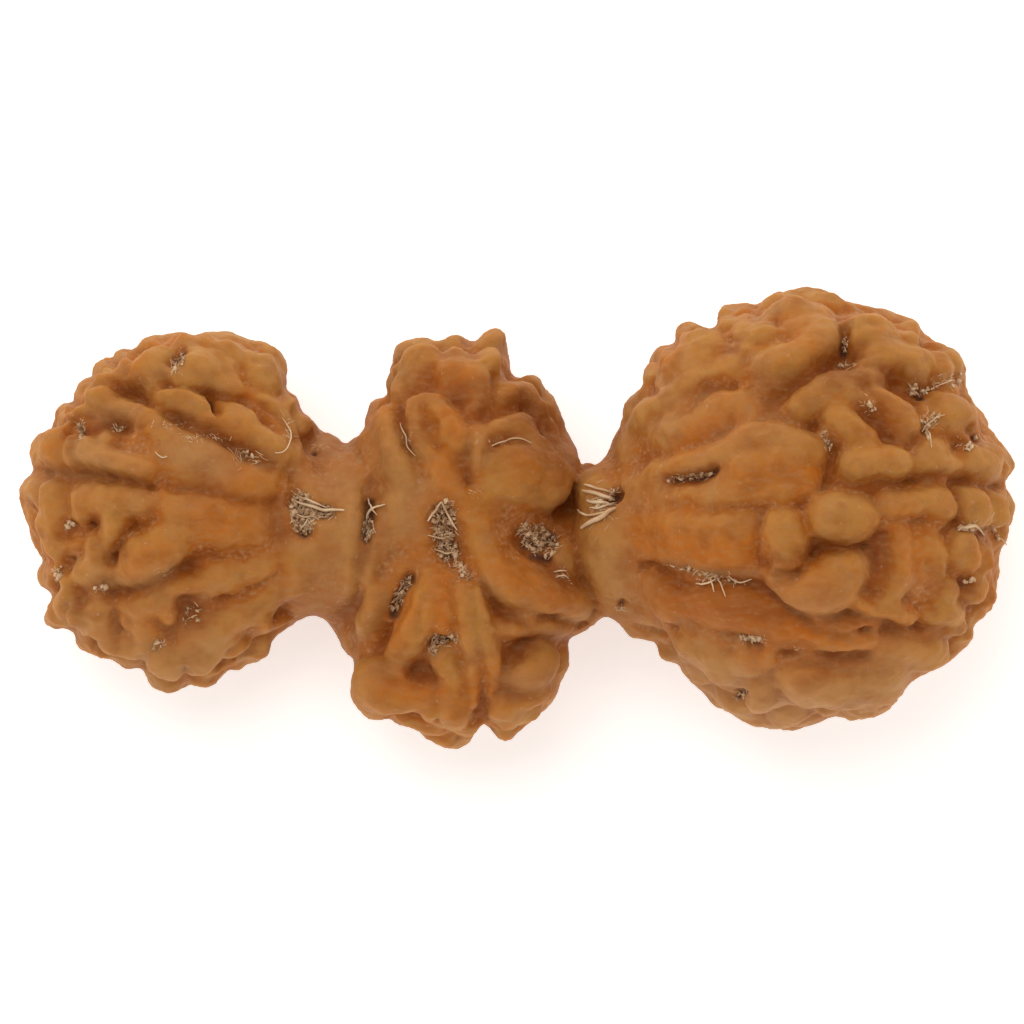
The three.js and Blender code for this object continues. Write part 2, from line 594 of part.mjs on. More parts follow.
function bestPoint(q, a, b) {
  const middle = a.map((v, k) => (v + b[k]) / 2);
  const long = Math.hypot(...a.map((v, k) => v - b[k]));
  const det =
    q[0] * (q[4] * q[7] - q[5] * q[5]) - q[1] * (q[1] * q[7] - q[5] * q[2]) + q[2] * (q[1] * q[5] - q[4] * q[2]);
  const choices = [middle, a, b];
  if (Math.abs(det) > 1e-12) {
    const r = [-q[3], -q[6], -q[8]];
    const x =
      (r[0] * (q[4] * q[7] - q[5] * q[5]) - q[1] * (r[1] * q[7] - q[5] * r[2]) + q[2] * (r[1] * q[5] - q[4] * r[2])) / det;
    const y =
      (q[0] * (r[1] * q[7] - q[5] * r[2]) - r[0] * (q[1] * q[7] - q[5] * q[2]) + q[2] * (q[1] * r[2] - r[1] * q[2])) / det;
    const z =
      (q[0] * (q[4] * r[2] - r[1] * q[5]) - q[1] * (q[1] * r[2] - r[1] * q[2]) + r[0] * (q[1] * q[5] - q[4] * q[2])) / det;
    if (Math.hypot(x - middle[0], y - middle[1], z - middle[2]) < 1.2 * long) choices.push([x, y, z]);
  }
  let best = null;
  for (const p of choices) {
    const cost = formCost(q, p) + 1e-4 * long * long * long;
    if (!best || cost < best.cost) best = { p, cost };
  }
  return best;
}

function thin(points, triangles, budget) {
  const around = points.map(() => new Set());
  const forms = points.map(() => new Array(10).fill(0));
  triangles.forEach((f, i) => {
    const q = planeForm(points[f[0]], points[f[1]], points[f[2]]);
    for (const v of f) {
      around[v].add(i);
      if (q) for (let k = 0; k < 10; k++) forms[v][k] += q[k];
    }
  });
  const stamp = new Uint32Array(points.length);
  const heap = [];
  const less = (a, b) => a.cost < b.cost;
  function push(e) {
    let i = heap.push(e) - 1;
    while (i && less(heap[i], heap[(i - 1) >> 1])) {
      const up = (i - 1) >> 1;
      [heap[i], heap[up]] = [heap[up], heap[i]];
      i = up;
    }
  }
  function pop() {
    const top = heap[0];
    const end = heap.pop();
    if (heap.length) {
      heap[0] = end;
      let i = 0;
      for (;;) {
        let small = i;
        for (const c of [2 * i + 1, 2 * i + 2]) if (c < heap.length && less(heap[c], heap[small])) small = c;
        if (small === i) break;
        [heap[i], heap[small]] = [heap[small], heap[i]];
        i = small;
      }
    }
    return top;
  }
  function offer(a, b) {
    const q = forms[a].map((v, k) => v + forms[b][k]);
    const { p, cost } = bestPoint(q, points[a], points[b]);
    push({ a, b, p, cost, sa: stamp[a], sb: stamp[b] });
  }
  function neighbours(v) {
    const out = new Set();
    for (const f of around[v]) for (const w of triangles[f]) if (w !== v) out.add(w);
    return out;
  }
  const cross = (a, b, c) => {
    const u = [b[0] - a[0], b[1] - a[1], b[2] - a[2]];
    const v = [c[0] - a[0], c[1] - a[1], c[2] - a[2]];
    return [u[1] * v[2] - u[2] * v[1], u[2] * v[0] - u[0] * v[2], u[0] * v[1] - u[1] * v[0]];
  };
  function turnsOver(v, other, p) {
    for (const f of around[v]) {
      const t = triangles[f];
      if (t.includes(other)) continue;
      const now = t.map((w) => points[w]);
      const then = t.map((w) => (w === v ? p : points[w]));
      const m = cross(...now);
      const n = cross(...then);
      const dot = m[0] * n[0] + m[1] * n[1] + m[2] * n[2];
      if (dot < 0.25 * Math.hypot(...m) * Math.hypot(...n) || Math.hypot(...n) < 1e-5) return true;
    }
    return false;
  }
  const seen = new Set();
  for (const f of triangles)
    for (let k = 0; k < 3; k++) {
      const a = Math.min(f[k], f[(k + 1) % 3]);
      const b = Math.max(f[k], f[(k + 1) % 3]);
      const key = a * points.length + b;
      if (seen.has(key)) continue;
      seen.add(key);
      offer(a, b);
    }
  let left = triangles.length;
  while (left > budget && heap.length) {
    const e = pop();
    if (e.sa !== stamp[e.a] || e.sb !== stamp[e.b]) continue;
    const na = neighbours(e.a);
    const nb = neighbours(e.b);
    let shared = 0;
    for (const v of na) if (nb.has(v)) shared++;
    if (shared !== 2 || turnsOver(e.a, e.b, e.p) || turnsOver(e.b, e.a, e.p)) continue;
    for (const f of [...around[e.b]]) {
      const t = triangles[f];
      if (t.includes(e.a)) {
        for (const v of t) around[v].delete(f);
        triangles[f] = null;
        left--;
      } else {
        t[t.indexOf(e.b)] = e.a;
        around[e.a].add(f);
      }
    }
    around[e.b].clear();
    points[e.a] = e.p;
    for (let k = 0; k < 10; k++) forms[e.a][k] += forms[e.b][k];
    stamp[e.a]++;
    stamp[e.b]++;
    for (const v of neighbours(e.a)) offer(e.a, v);
  }
  return triangles.filter(Boolean);
}
const kept = thin(corners, faces, FACE_BUDGET);

const net = new THREE.BufferGeometry();
net.setAttribute("position", new THREE.Float32BufferAttribute(kept.flat().flatMap((v) => corners[v]), 3));

const wasm = await Module();
wasm.setup();
function solidOf(geometry) {
  const bare = geometry.clone();
  bare.deleteAttribute("normal");
  bare.deleteAttribute("uv");
  const merged = mergeVertices(bare, 1e-4);
  return new wasm.Manifold(
    new wasm.Mesh({
      numProp: 3,
      vertProperties: new Float32Array(merged.attributes.position.array),
      triVerts: new Uint32Array(merged.index.array),
    }),
  );
}

// The low knobs are worn flat at z = 0, so that the row rests on three small flats.
const floorCut = new THREE.BoxGeometry(60, 40, 6).translate(0, 0, -3);
const stones = solidOf(net).subtract(solidOf(floorCut));
const made = stones.getMesh();
const geometry = new THREE.BufferGeometry();
geometry.setAttribute("position", new THREE.Float32BufferAttribute(Array.from(made.vertProperties), 3));
geometry.setIndex(Array.from(made.triVerts));
geometry.computeVertexNormals();

const mesh = new THREE.Mesh(
  geometry,
  new THREE.MeshStandardMaterial({ color: 0xb9793c, roughness: 0.6, metalness: 0 }),
);
mesh.name = "fused_stones";

const part = new THREE.Group();
part.name = "rudraksha_seed";
part.add(mesh);
export default part;
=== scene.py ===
# %% [markdown]
# # Three rudraksha stones grown together
# The object is a dried fruit stone: three stones in a row that have grown into each other. Deep lines
# run from pole to pole, and the ribs between them break into bold rounded knobs. This lesson swells
# ellipsoids into smooth stones, raises every rib and knob on them along listed paths, cuts the
# grooves and pits, and last adds dried fibre, corky crumbs and the waxy finish.
# Everything is modelled in millimetres and brought down to metres once, when the shapes are done.

# %% The frame
import math
import random

import bpy
import numpy as np
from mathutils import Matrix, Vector, noise
from mathutils.bvhtree import BVHTree
from mathutils.kdtree import KDTree


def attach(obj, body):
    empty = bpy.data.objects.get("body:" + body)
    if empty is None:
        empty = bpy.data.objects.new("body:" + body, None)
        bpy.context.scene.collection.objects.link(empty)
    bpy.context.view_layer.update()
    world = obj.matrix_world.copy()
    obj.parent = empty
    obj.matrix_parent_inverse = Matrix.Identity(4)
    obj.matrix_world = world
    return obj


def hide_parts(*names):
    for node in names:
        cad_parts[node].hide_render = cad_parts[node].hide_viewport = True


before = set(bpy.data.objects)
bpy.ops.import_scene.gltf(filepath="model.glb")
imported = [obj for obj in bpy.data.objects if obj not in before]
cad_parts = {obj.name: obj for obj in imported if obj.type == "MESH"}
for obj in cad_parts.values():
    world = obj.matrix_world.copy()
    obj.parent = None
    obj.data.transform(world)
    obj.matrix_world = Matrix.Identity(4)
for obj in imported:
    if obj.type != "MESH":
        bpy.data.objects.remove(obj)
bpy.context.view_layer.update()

# %% [markdown]
# ## The bare bodies
# Without its ribs each stone is a smooth swollen shape. It could be turned on a lathe, but the stones
# are squeezed against each other, so overlapping ellipsoids that are fused by a voxel remesh and then
# smoothed come closer: the joints flow like flesh that dried in one piece.

# %% Body sizes
# Centre x, y, z and half lengths of each ellipsoid, down to the floor of the valleys.
ROW_BODIES = [
    (-12.0, 0.3, 6.05, 4.8, 5.7, 5.4),
    (-10.05, 2.8, 6.2, 2.55, 3.0, 3.4),
    (-6.3, -0.45, 6.3, 3.6, 2.9, 4.1),
    (-2.0, 1.0, 6.2, 3.8, 4.8, 4.9),
    (-2.0, -2.7, 6.1, 4.0, 4.3, 4.7),
    (-4.1, -4.9, 6.1, 1.65, 1.95, 3.4),
    (-2.2, -5.55, 6.1, 1.4, 2.0, 3.2),
    (0.1, -5.4, 6.1, 1.55, 2.05, 3.2),
    (0.5, -1.6, 6.2, 2.6, 2.3, 4.0),
    (0.7, 1.5, 6.3, 1.6, 1.6, 3.4),
]
LARGE_BODIES = [
    (10.2, 0.35, 7.4, 6.8, 7.1, 6.8),
    (8.25, 1.6, 7.4, 4.7, 5.4, 5.6),
    (4.6, -0.75, 7.1, 3.15, 2.75, 3.7),
    (3.1, 0.6, 7.0, 1.1, 1.3, 3.0),
]
print("bodies:", len(ROW_BODIES) + len(LARGE_BODIES))


# %% Helpers for one object at a time
def only(obj):
    """Selects this object alone."""
    bpy.ops.object.select_all(action="DESELECT")
    obj.select_set(True)
    bpy.context.view_layer.objects.active = obj


def finish_modifier(obj, kind, **values):
    """Adds a modifier with these values and applies it."""
    only(obj)
    mod = obj.modifiers.new(kind.title(), kind)
    for key, value in values.items():
        setattr(mod, key, value)
    bpy.ops.object.modifier_apply(modifier=mod.name)


def joined(pieces, name):
    """Joins pieces into one object with its place in its mesh."""
    bpy.ops.object.select_all(action="DESELECT")
    for piece in pieces:
        piece.select_set(True)
    bpy.context.view_layer.objects.active = pieces[0]
    if len(pieces) > 1:
        bpy.ops.object.join()
    obj = bpy.context.object
    bpy.ops.object.transform_apply(location=True, rotation=True, scale=True)
    obj.name = obj.data.name = name
    return obj


# %% Fusing the bodies
# Voxels are coarse while the ellipsoids of one body are fused, and fine once both bodies meet.
BODY_VOXEL = 0.22
BODY_SMOOTHING = 14
SHELL_VOXEL = 0.1
SHELL_SMOOTHING = 4


def fused(bodies, name):
    """One smooth closed body out of overlapping ellipsoids."""
    balls = []
    for x, y, z, a, b, c in bodies:
        bpy.ops.object.select_all(action="DESELECT")
        bpy.ops.mesh.primitive_uv_sphere_add(segments=96, ring_count=48, radius=1, location=(x, y, z))
        bpy.context.object.scale = (a, b, c)
        balls.append(bpy.context.object)
    obj = joined(balls, name)
    finish_modifier(obj, "REMESH", mode="VOXEL", voxel_size=BODY_VOXEL)
    finish_modifier(obj, "SMOOTH", factor=0.5, iterations=BODY_SMOOTHING)
    return obj


row = fused(ROW_BODIES, "row")
large = fused(LARGE_BODIES, "large")
shell = joined([row, large], "fused_shell")
finish_modifier(shell, "REMESH", mode="VOXEL", voxel_size=SHELL_VOXEL)
finish_modifier(shell, "SMOOTH", factor=0.5, iterations=SHELL_SMOOTHING)
print("bare bodies:", len(shell.data.vertices), "points")

# %% [markdown]
# ## How ribs and knobs are raised
# A sculptor would pull each rib up with a brush stroke, but a stroke by hand can't be rerun. Here a
# stroke is a path of plan points with a half width and a height: every point of the shell near the
# path rises like a round dome, and where two domes meet the higher one wins, which leaves the soft
# crease that real knobs have between them. The distance to the path is measured through slowly
# wandering noise, so no knob comes out regular.


# %% Reading and writing the points
def vectors_of(obj, name):
    """One vector for each point of an object: its place, "co", or its "normal"."""
    values = np.empty(len(obj.data.vertices) * 3)
    obj.data.vertices.foreach_get(name, values)
    return values.reshape(-1, 3)


def move_points(obj, places):
    obj.data.vertices.foreach_set("co", places.ravel())
    obj.data.update()


def edges_of(obj):
    ends = np.empty(len(obj.data.edges) * 2, int)
    obj.data.edges.foreach_get("vertices", ends)
    return ends.reshape(-1, 2)


def smoothed_on(obj, values, rounds):
    """Evens out numbers kept on the points of an object, by averaging with the neighbours."""
    ends = edges_of(obj)
    count = len(values)
    columns = values.reshape(count, -1).astype(float)
    share = np.maximum(np.bincount(ends.ravel(), minlength=count), 1)
    for _ in range(rounds):
        for k in range(columns.shape[1]):
            total = np.bincount(ends[:, 0], columns[ends[:, 1], k], count)
            total += np.bincount(ends[:, 1], columns[ends[:, 0], k], count)
            columns[:, k] = 0.5 * columns[:, k] + 0.5 * total / share
    return columns.reshape(values.shape)


bare = vectors_of(shell, "co")
outward = vectors_of(shell, "normal")


def ground_of(obj):
    """The nearest-point and the ray finder of an object."""
    places = vectors_of(obj, "co")
    nearest = KDTree(len(places))
    for i, p in enumerate(places):
        nearest.insert(p, i)
    nearest.balance()
    return nearest, BVHTree.FromObject(obj, bpy.context.evaluated_depsgraph_get())


ground, tree = ground_of(shell)
print("shell points to look up:", len(bare))

# %% Seating a path on the shell
# Rays start this high and go straight down. A path point that misses the shell is put at rim level.
ABOVE_ALL = 40
DOWN = Vector((0, 0, -1))
RIM_LEVEL = 6.2
SEATING_ROUNDS = 5
STEPS = 3


def seat(x, y, lift):
    """The shell point whose crest, raised by lift, shows at the plan point x, y."""
    at_x, at_y = x, y
    for _ in range(SEATING_ROUNDS):
        hit = tree.ray_cast(Vector((at_x, at_y, ABOVE_ALL)), DOWN)[0]
        if hit is None:
            return bare[ground.find(Vector((x, y, RIM_LEVEL)))[1]]
        place = ground.find(hit)[1]
        at_x = x - lift * outward[place][0]
        at_y = y - lift * outward[place][1]
    return bare[place]


def curve_through(values, steps):
    """A smooth path through plan points, two numbers each, with this many steps from one to the next."""
    p = np.array(values, float).reshape(-1, 2)
    if len(p) < 3:
        return p
    ends = np.vstack([2 * p[0] - p[1], p, 2 * p[-1] - p[-2]])
    out = []
    for i in range(len(p) - 1):
        a, b, c, d = ends[i : i + 4]
        for k in range(steps):
            t = k / steps
            slope = (c - a) * t
            bend = (2 * a - 5 * b + 4 * c - d) * t * t
            twist = (3 * b - a - 3 * c + d) * t**3
            out.append(0.5 * (2 * b + slope + bend + twist))
    out.append(p[-1])
    return np.array(out)


def path_on(values, lift):
    """A stroke's plan points as a path on the shell."""
    return np.array([seat(x, y, lift) for x, y in curve_through(values, STEPS)])


# %% Raising and cutting
# A dome ends at this many half widths from its path. Two powers give it a broad top and a round
# fall, and its height varies by the share UNEVEN.
DOME_REACH = 1.3
DOME_SHOULDER = 1.5
DOME_FALL = 1.6
UNEVEN = 0.22
# The strokes are read from above, so towards the outline, where the shell turns steep, a knob has
# to reach far down the side to look as wide as it was read.
SEEN_FROM_ABOVE = 0.26


def near_path(places, path, reach, upright=1.0, heights=None):
    """Indices of the points near a path, and for each its squared distance and the height there.
    upright is how much a step up or down counts beside a step in plan."""
    if heights is None:
        heights = np.zeros(len(path))
    weight = np.array([1.0, 1.0, upright])
    low, high = path.min(axis=0) - reach / weight, path.max(axis=0) + reach / weight
    near = np.nonzero(((places > low) & (places < high)).all(axis=1))[0]
    q = places[near] * weight
    path = path * weight
    best = np.full(len(near), 1e9)
    height = np.full(len(near), heights[0])
    if len(path) == 1:
        best = ((q - path[0]) ** 2).sum(axis=1)
    for i in range(len(path) - 1):
        a, along = path[i], path[i + 1] - path[i]
        t = np.clip((q - a) @ along / max(along @ along, 1e-9), 0, 1)
        far = ((q - a - t[:, None] * along) ** 2).sum(axis=1)
        closer = far < best
        best = np.where(closer, far, best)
        height = np.where(closer, heights[i] * (1 - t) + heights[i + 1] * t, height)
    return near, best, height


def higher_of(a, b, blend):
    """The higher of two heights, with the crease where they meet rounded over this blend."""
    h = np.maximum(blend - np.abs(a - b), 0) / blend
    return np.maximum(a, b) + h * h * blend / 4


def raise_dome(relief, places, path, heights, width, blend, upright=1.0):
    """Lifts the relief to a dome along a path; blend rounds the crease to what is there."""
    reach = DOME_REACH * width
    near, far, height = near_path(places, path, reach, upright, heights)
    out = np.clip(far / reach**2, 0, 1)
    dome = height * (1 + UNEVEN * swell[near]) * (1 - out**DOME_SHOULDER) ** DOME_FALL - blend * out
    relief[near] = higher_of(dome, relief[near], blend)


def cut_groove(relief, places, path, width, depth, power):
    """Lowers the relief along a path: power 2 gives a soft valley, 3 a pit with steeper sides."""
    near, far, _ = near_path(places, path, 2.2 * width, SEEN_FROM_ABOVE)
    relief[near] -= depth * np.exp(-((np.sqrt(far) / width) ** power))


# %% [markdown]
# ## The outline
# From above the outline is drawn by knobs that stand at the widest level. They could be left to chance,
# but an outline is what the eye knows an object by. The list walks round it once, lobe by lobe and
# notch by notch. At the widest level the shell is swollen just up to this line, and nowhere may it
# pass it, so the lobes come out as read and the notches stay open.

# %% The outline in plan
OUTLINE = [
    # over the left stone
    -17.2, 0.0, -17.35, 0.4, -17.5, 0.9, -17.45, 1.15, -17.2, 1.35, -17.05, 1.5, -16.95, 1.75, -17.1, 2.2,
    -17.05, 2.6, -16.95, 2.85, -16.8, 3.0, -16.55, 3.0, -16.4, 3.1, -16.25, 3.25, -16.25, 3.5, -16.15, 3.8,
    -16.0, 4.0, -15.75, 4.15, -15.5, 4.4, -15.4, 4.7, -15.25, 4.85, -15.0, 4.88, -14.8, 4.95, -14.8, 5.15,
    -14.7, 5.45, -14.5, 5.6, -14.3, 5.62, -14.1, 5.8, -13.85, 5.92, -13.5, 5.9, -13.3, 6.05, -13.1, 6.3,
    -12.85, 6.4, -12.5, 6.45, -12.0, 6.48, -11.7, 6.56, -11.3, 6.37, -11.1, 6.5, -10.5, 6.57, -10.2, 6.57,
    -9.9, 6.48, -9.55, 6.3, -9.0, 6.22, -8.7, 6.1, -8.4, 5.9, -8.15, 5.6, -8.05, 5.3, -8.07, 5.1,
    -8.13, 4.5, -7.9, 4.4, -7.7, 4.2, -7.6, 3.85, -7.55, 3.65, -7.35, 3.55, -7.1, 3.4, -7.0, 3.2,
    -6.85, 3.0, -6.6, 2.95, -6.35, 2.85, -6.15, 2.65, -6.0, 2.55,
    # over the squeezed stone
    -5.7, 2.75, -5.4, 2.95, -5.3, 3.2, -5.25, 3.6, -5.2, 3.9, -5.1, 4.1, -4.9, 4.2, -4.55, 4.23,
    -4.43, 4.3, -4.45, 4.75, -4.38, 5.1, -4.33, 5.5, -4.3, 5.9, -4.15, 6.1, -3.9, 6.2, -3.5, 6.3,
    -3.2, 6.33, -2.75, 6.16, -2.5, 6.25, -2.1, 6.43, -1.85, 6.37, -1.65, 6.2, -1.47, 6.1, -1.35, 6.2,
    -1.2, 6.45, -1.0, 6.6, -0.75, 6.62, -0.5, 6.53, -0.38, 6.3, -0.33, 6.0, -0.3, 5.1, -0.2, 4.88,
    0.0, 4.85, 0.25, 4.93, 0.5, 5.04, 0.7, 4.98, 0.9, 4.7, 1.1, 4.4, 1.35, 4.15, 1.55, 3.6,
    1.7, 3.25, 1.95, 2.7, 2.1, 2.3, 2.27, 1.8, 2.5, 1.67,
    # over the large stone
    3.0, 2.0, 3.3, 2.5, 3.7, 3.3, 3.75, 3.8, 3.9, 4.15, 4.2, 4.4, 4.5, 4.55, 4.55, 5.0, 4.7, 5.55,
    4.95, 6.0, 5.3, 6.1, 5.55, 6.1, 5.6, 6.6, 6.0, 6.92, 6.4, 6.75, 7.0, 6.55, 7.05, 7.0, 7.15, 7.4,
    7.4, 7.5, 8.1, 7.55, 8.5, 7.45, 8.9, 7.75, 9.4, 7.95, 10.0, 8.05, 10.7, 8.05, 11.0, 7.85,
    11.4, 7.6, 12.0, 7.5, 12.9, 7.3, 13.4, 7.1, 13.9, 7.0, 14.1, 6.75, 14.2, 6.5, 14.8, 6.1,
    15.5, 5.5, 15.75, 5.1, 15.85, 4.2, 16.2, 3.75, 16.6, 3.1, 17.0, 2.6, 17.5, 1.9, 17.45, 1.65,
    17.05, 1.2, 17.45, 0.6, 17.5, 0.3,
    # back under the large stone
    17.2, -0.6, 16.95, -1.2, 16.8, -2.9, 16.5, -3.35, 16.1, -3.5, 15.9, -3.75, 16.0, -4.0,
    15.95, -4.3, 15.1, -5.1, 14.6, -5.35, 13.8, -5.75, 13.6, -6.1, 13.0, -6.75, 12.5, -6.98,
    11.7, -7.08, 11.3, -6.9, 10.5, -7.2, 9.2, -7.4, 8.0, -7.15, 7.4, -6.8, 7.0, -6.5, 6.8, -6.15,
    6.3, -5.9, 5.8, -5.4, 5.7, -5.05, 5.2, -5.0, 5.0, -4.8, 4.9, -4.3, 4.2, -4.2, 3.9, -4.05,
    3.5, -3.6, 3.1, -3.4,
    # back under the squeezed stone
    2.8, -3.6, 2.5, -3.9, 2.2, -4.05, 1.78, -4.25, 1.82, -4.6, 1.82, -5.0, 1.75, -5.3, 1.55, -5.7,
    1.4, -6.2, 1.2, -6.5, 0.9, -6.8, 0.4, -7.2, 0.0, -7.5, -0.2, -7.75, -0.4, -7.85, -0.65, -7.75,
    -0.8, -7.5, -1.1, -7.18, -1.38, -7.25, -1.5, -7.5, -1.65, -7.85, -1.85, -8.05, -2.1, -8.13,
    -2.35, -8.07, -2.9, -7.83, -3.2, -7.75, -3.4, -7.5, -3.6, -7.37, -3.95, -7.3, -4.2, -7.2,
    -4.45, -7.0, -4.85, -7.13, -5.1, -7.12, -5.3, -7.0, -5.5, -6.75, -5.75, -6.4, -5.82, -6.1,
    -5.75, -5.6, -5.65, -5.05, -5.8, -4.85, -6.0, -4.7, -6.15, -4.4, -6.3, -4.1, -6.5, -3.85,
    -6.7, -3.55, -7.1, -3.37,
    # back under the left stone
    -7.55, -3.5, -7.8, -3.65, -8.1, -3.9, -8.55, -4.1, -8.7, -4.3, -8.75, -4.6, -8.9, -4.9,
    -9.15, -5.08, -9.45, -5.15, -9.8, -5.38, -10.1, -5.28, -10.35, -5.55, -10.55, -5.8, -10.8, -5.87,
    -11.2, -5.85, -11.45, -5.8, -11.6, -5.93, -12.0, -6.12, -12.4, -6.12, -12.6, -6.08, -12.8, -5.9,
    -12.95, -5.6, -13.15, -5.22, -13.4, -5.3, -13.65, -5.3, -13.85, -5.2, -14.0, -5.05, -14.2, -4.96,
    -14.6, -4.9, -15.0, -4.77, -15.3, -4.6, -15.45, -4.4, -15.5, -4.15, -15.6, -3.93, -16.0, -3.91,
    -16.25, -3.88, -16.45, -3.75, -16.55, -3.5, -16.5, -3.25, -16.35, -3.0, -16.25, -2.75,
    -16.5, -2.52, -16.75, -2.4, -16.82, -2.2, -16.82, -1.95, -16.7, -1.65, -16.58, -1.48,
    -16.85, -1.1, -17.0, -0.9, -17.1, -0.6, -17.12, -0.25, -17.2, 0.0,
]
print("outline:", len(OUTLINE) // 2, "points")

# %% Room up to the outline
# Only points that face sideways look for the line. The ones that find none keep NO_LINE, and a
# point may stand at most this far outside the line already.
SIDEWAYS = 0.6
NO_LINE = 3.0
MOST_OUTSIDE = 1.2
TINY = 1e-9
# The widest level of each stone, and how far it wanders up and down.
LEFT_LEVEL = 6.1
MIDDLE_LEVEL = 6.2
LARGE_LEVEL = 7.4
LEVEL_WANDER = 1.2
# Points this close to the widest level measure the room there, and count no more than this.
RIM_BAND = 0.3
MOST_ROOM = 1.2
# Steps from one outline point to the next, and how many of them a shoulder or a lobe is evened over.
OUTLINE_STEPS = 2
SHOULDER_SPAN = 17
LOBE_SPAN = 3


def room_to_outline(places, normals):
    """How far each point can move along its normal until it reaches the outline in plan."""
    line = curve_through(OUTLINE, OUTLINE_STEPS)
    flat = np.hypot(normals[:, 0], normals[:, 1])
    near = np.nonzero(flat > SIDEWAYS)[0]
    p = places[near, :2]
    u = normals[near, :2] / flat[near, None]
    room = np.full(len(near), NO_LINE)
    part = np.zeros(len(near), int)
    for i, (a, b) in enumerate(zip(line[:-1], line[1:])):
        e = b - a
        cross = u[:, 0] * e[1] - u[:, 1] * e[0]
        divisor = np.where(np.abs(cross) < TINY, TINY, cross)
        w = a - p
        t = (w[:, 0] * e[1] - w[:, 1] * e[0]) / divisor
        s = (w[:, 0] * u[:, 1] - w[:, 1] * u[:, 0]) / divisor
        hit = (s >= 0) & (s <= 1) & (cross < 0) & (t > -MOST_OUTSIDE)
        closer = hit & (np.abs(t) < np.abs(room))
        room = np.where(closer, t, room)
        part = np.where(closer, i, part)
    return near, room / flat[near], part, len(line) - 1


def rim_level(places):
    """The height at which the outline is drawn, a little up and down from knob to knob."""
    x = places[:, 0]
    wave = np.array([noise.noise(Vector((p[0] * 0.7, p[1] * 0.7, 4))) for p in places])
    level = np.where(x < -6.5, LEFT_LEVEL, np.where(x < 2.4, MIDDLE_LEVEL, LARGE_LEVEL))
    return level + LEVEL_WANDER * wave


def rim_room(places, normals, span):
    """The room at the widest level, evened out over a span of the outline, for each point near it."""
    near, room, part, parts = room_to_outline(places, normals)
    off = places[near, 2] - rim_level(places[near])
    rim = (np.abs(off) < RIM_BAND) & (room < 2)
    total = np.bincount(part[rim], np.clip(room[rim], 0, MOST_ROOM), parts)
    found = np.bincount(part[rim], minlength=parts)
    window = np.ones(span)
    total = np.convolve(np.pad(total, span // 2, mode="wrap"), window, "valid")
    found = np.convolve(np.pad(found, span // 2, mode="wrap"), window, "valid")
    return near, room, off, (total / np.maximum(found, 1))[part]


def fading(off, above, below):
    """1 at the widest level, 0 at the given distances above and below it."""
    t = np.clip(np.abs(off) / np.where(off > 0, above, below), 0, 1)
    return 1 - t * t * (3 - 2 * t)


# %% [markdown]
# ## Broad swellings
# Where two stones flow into each other, and under the wide smooth ribs, the shell is fuller than the
# ellipsoids. More ellipsoids would leave dents between them, so broad strokes fill those places, and
# the shoulders are swollen out towards the outline before any knob stands on them.

# %% Filling the joints
# Half width, height and plan points of each broad stroke.
SWELLS = [
    (1.7, 0.5, -8.3, 1.6, -8.1, 0.2, -8.1, -1.2, -8.0, -2.4),
    (1.7, 0.5, -5.0, 2.0, -4.8, 0.6, -4.7, -0.8, -5.0, -2.2),
    (1.3, 0.45, 0.1, 2.0, 1.0, 1.6),
    (1.3, 0.5, -4.6, -5.9, -3.2, -6.2),
    (1.1, 0.4, -0.5, -6.1, 0.6, -5.9),
    (1.3, 0.35, -0.2, -1.9, 1.2, -2.2),
    (1.7, 0.45, 3.8, 1.6, 3.7, -0.3, 3.8, -2.0, 4.1, -3.0),
    (1.6, 0.3, 9.0, 5.8, 10.4, 6.4),
]
SWELL_CREASE = 0.3
SWELL_ROUNDS = 30
# The shoulder takes up this share of the room, and ends so far above and below the widest level.
SHOULDER = 0.95
LEFT_ABOVE = 4.2
MIDDLE_ABOVE = 3.6
LARGE_ABOVE = 5.2
ALL_BELOW = 3.2


def on_middle(places):
    """Which points belong to the squeezed stone."""
    return (places[:, 0] > -6) & (places[:, 0] < 2.4)


swell = np.zeros(len(bare))
swelling = np.zeros(len(bare))
for width, height, *plan in SWELLS:
    path = path_on(plan, 0)
    raise_dome(swelling, bare, path, [height] * len(path), width, SWELL_CREASE)
near, room, off, usual = rim_room(bare, outward, SHOULDER_SPAN)
top = np.where(on_middle(bare[near]), MIDDLE_ABOVE, np.where(bare[near, 0] < -6, LEFT_ABOVE, LARGE_ABOVE))
fading_out = np.clip(off / top, 0, 1) ** 3 + np.clip(-off / ALL_BELOW, 0, 1) ** 2
shoulder = SHOULDER * usual * np.clip(1 - fading_out, 0, 1)
swelling[near] = np.maximum(swelling[near], np.where(room < NO_LINE, shoulder, 0))
swelling = smoothed_on(shell, np.maximum(swelling, 0), SWELL_ROUNDS)
move_points(shell, bare + outward * swelling[:, None])
bare = vectors_of(shell, "co")
outward = vectors_of(shell, "normal")
ground, tree = ground_of(shell)
print("joints filled by up to", round(swelling.max(), 2), "mm")
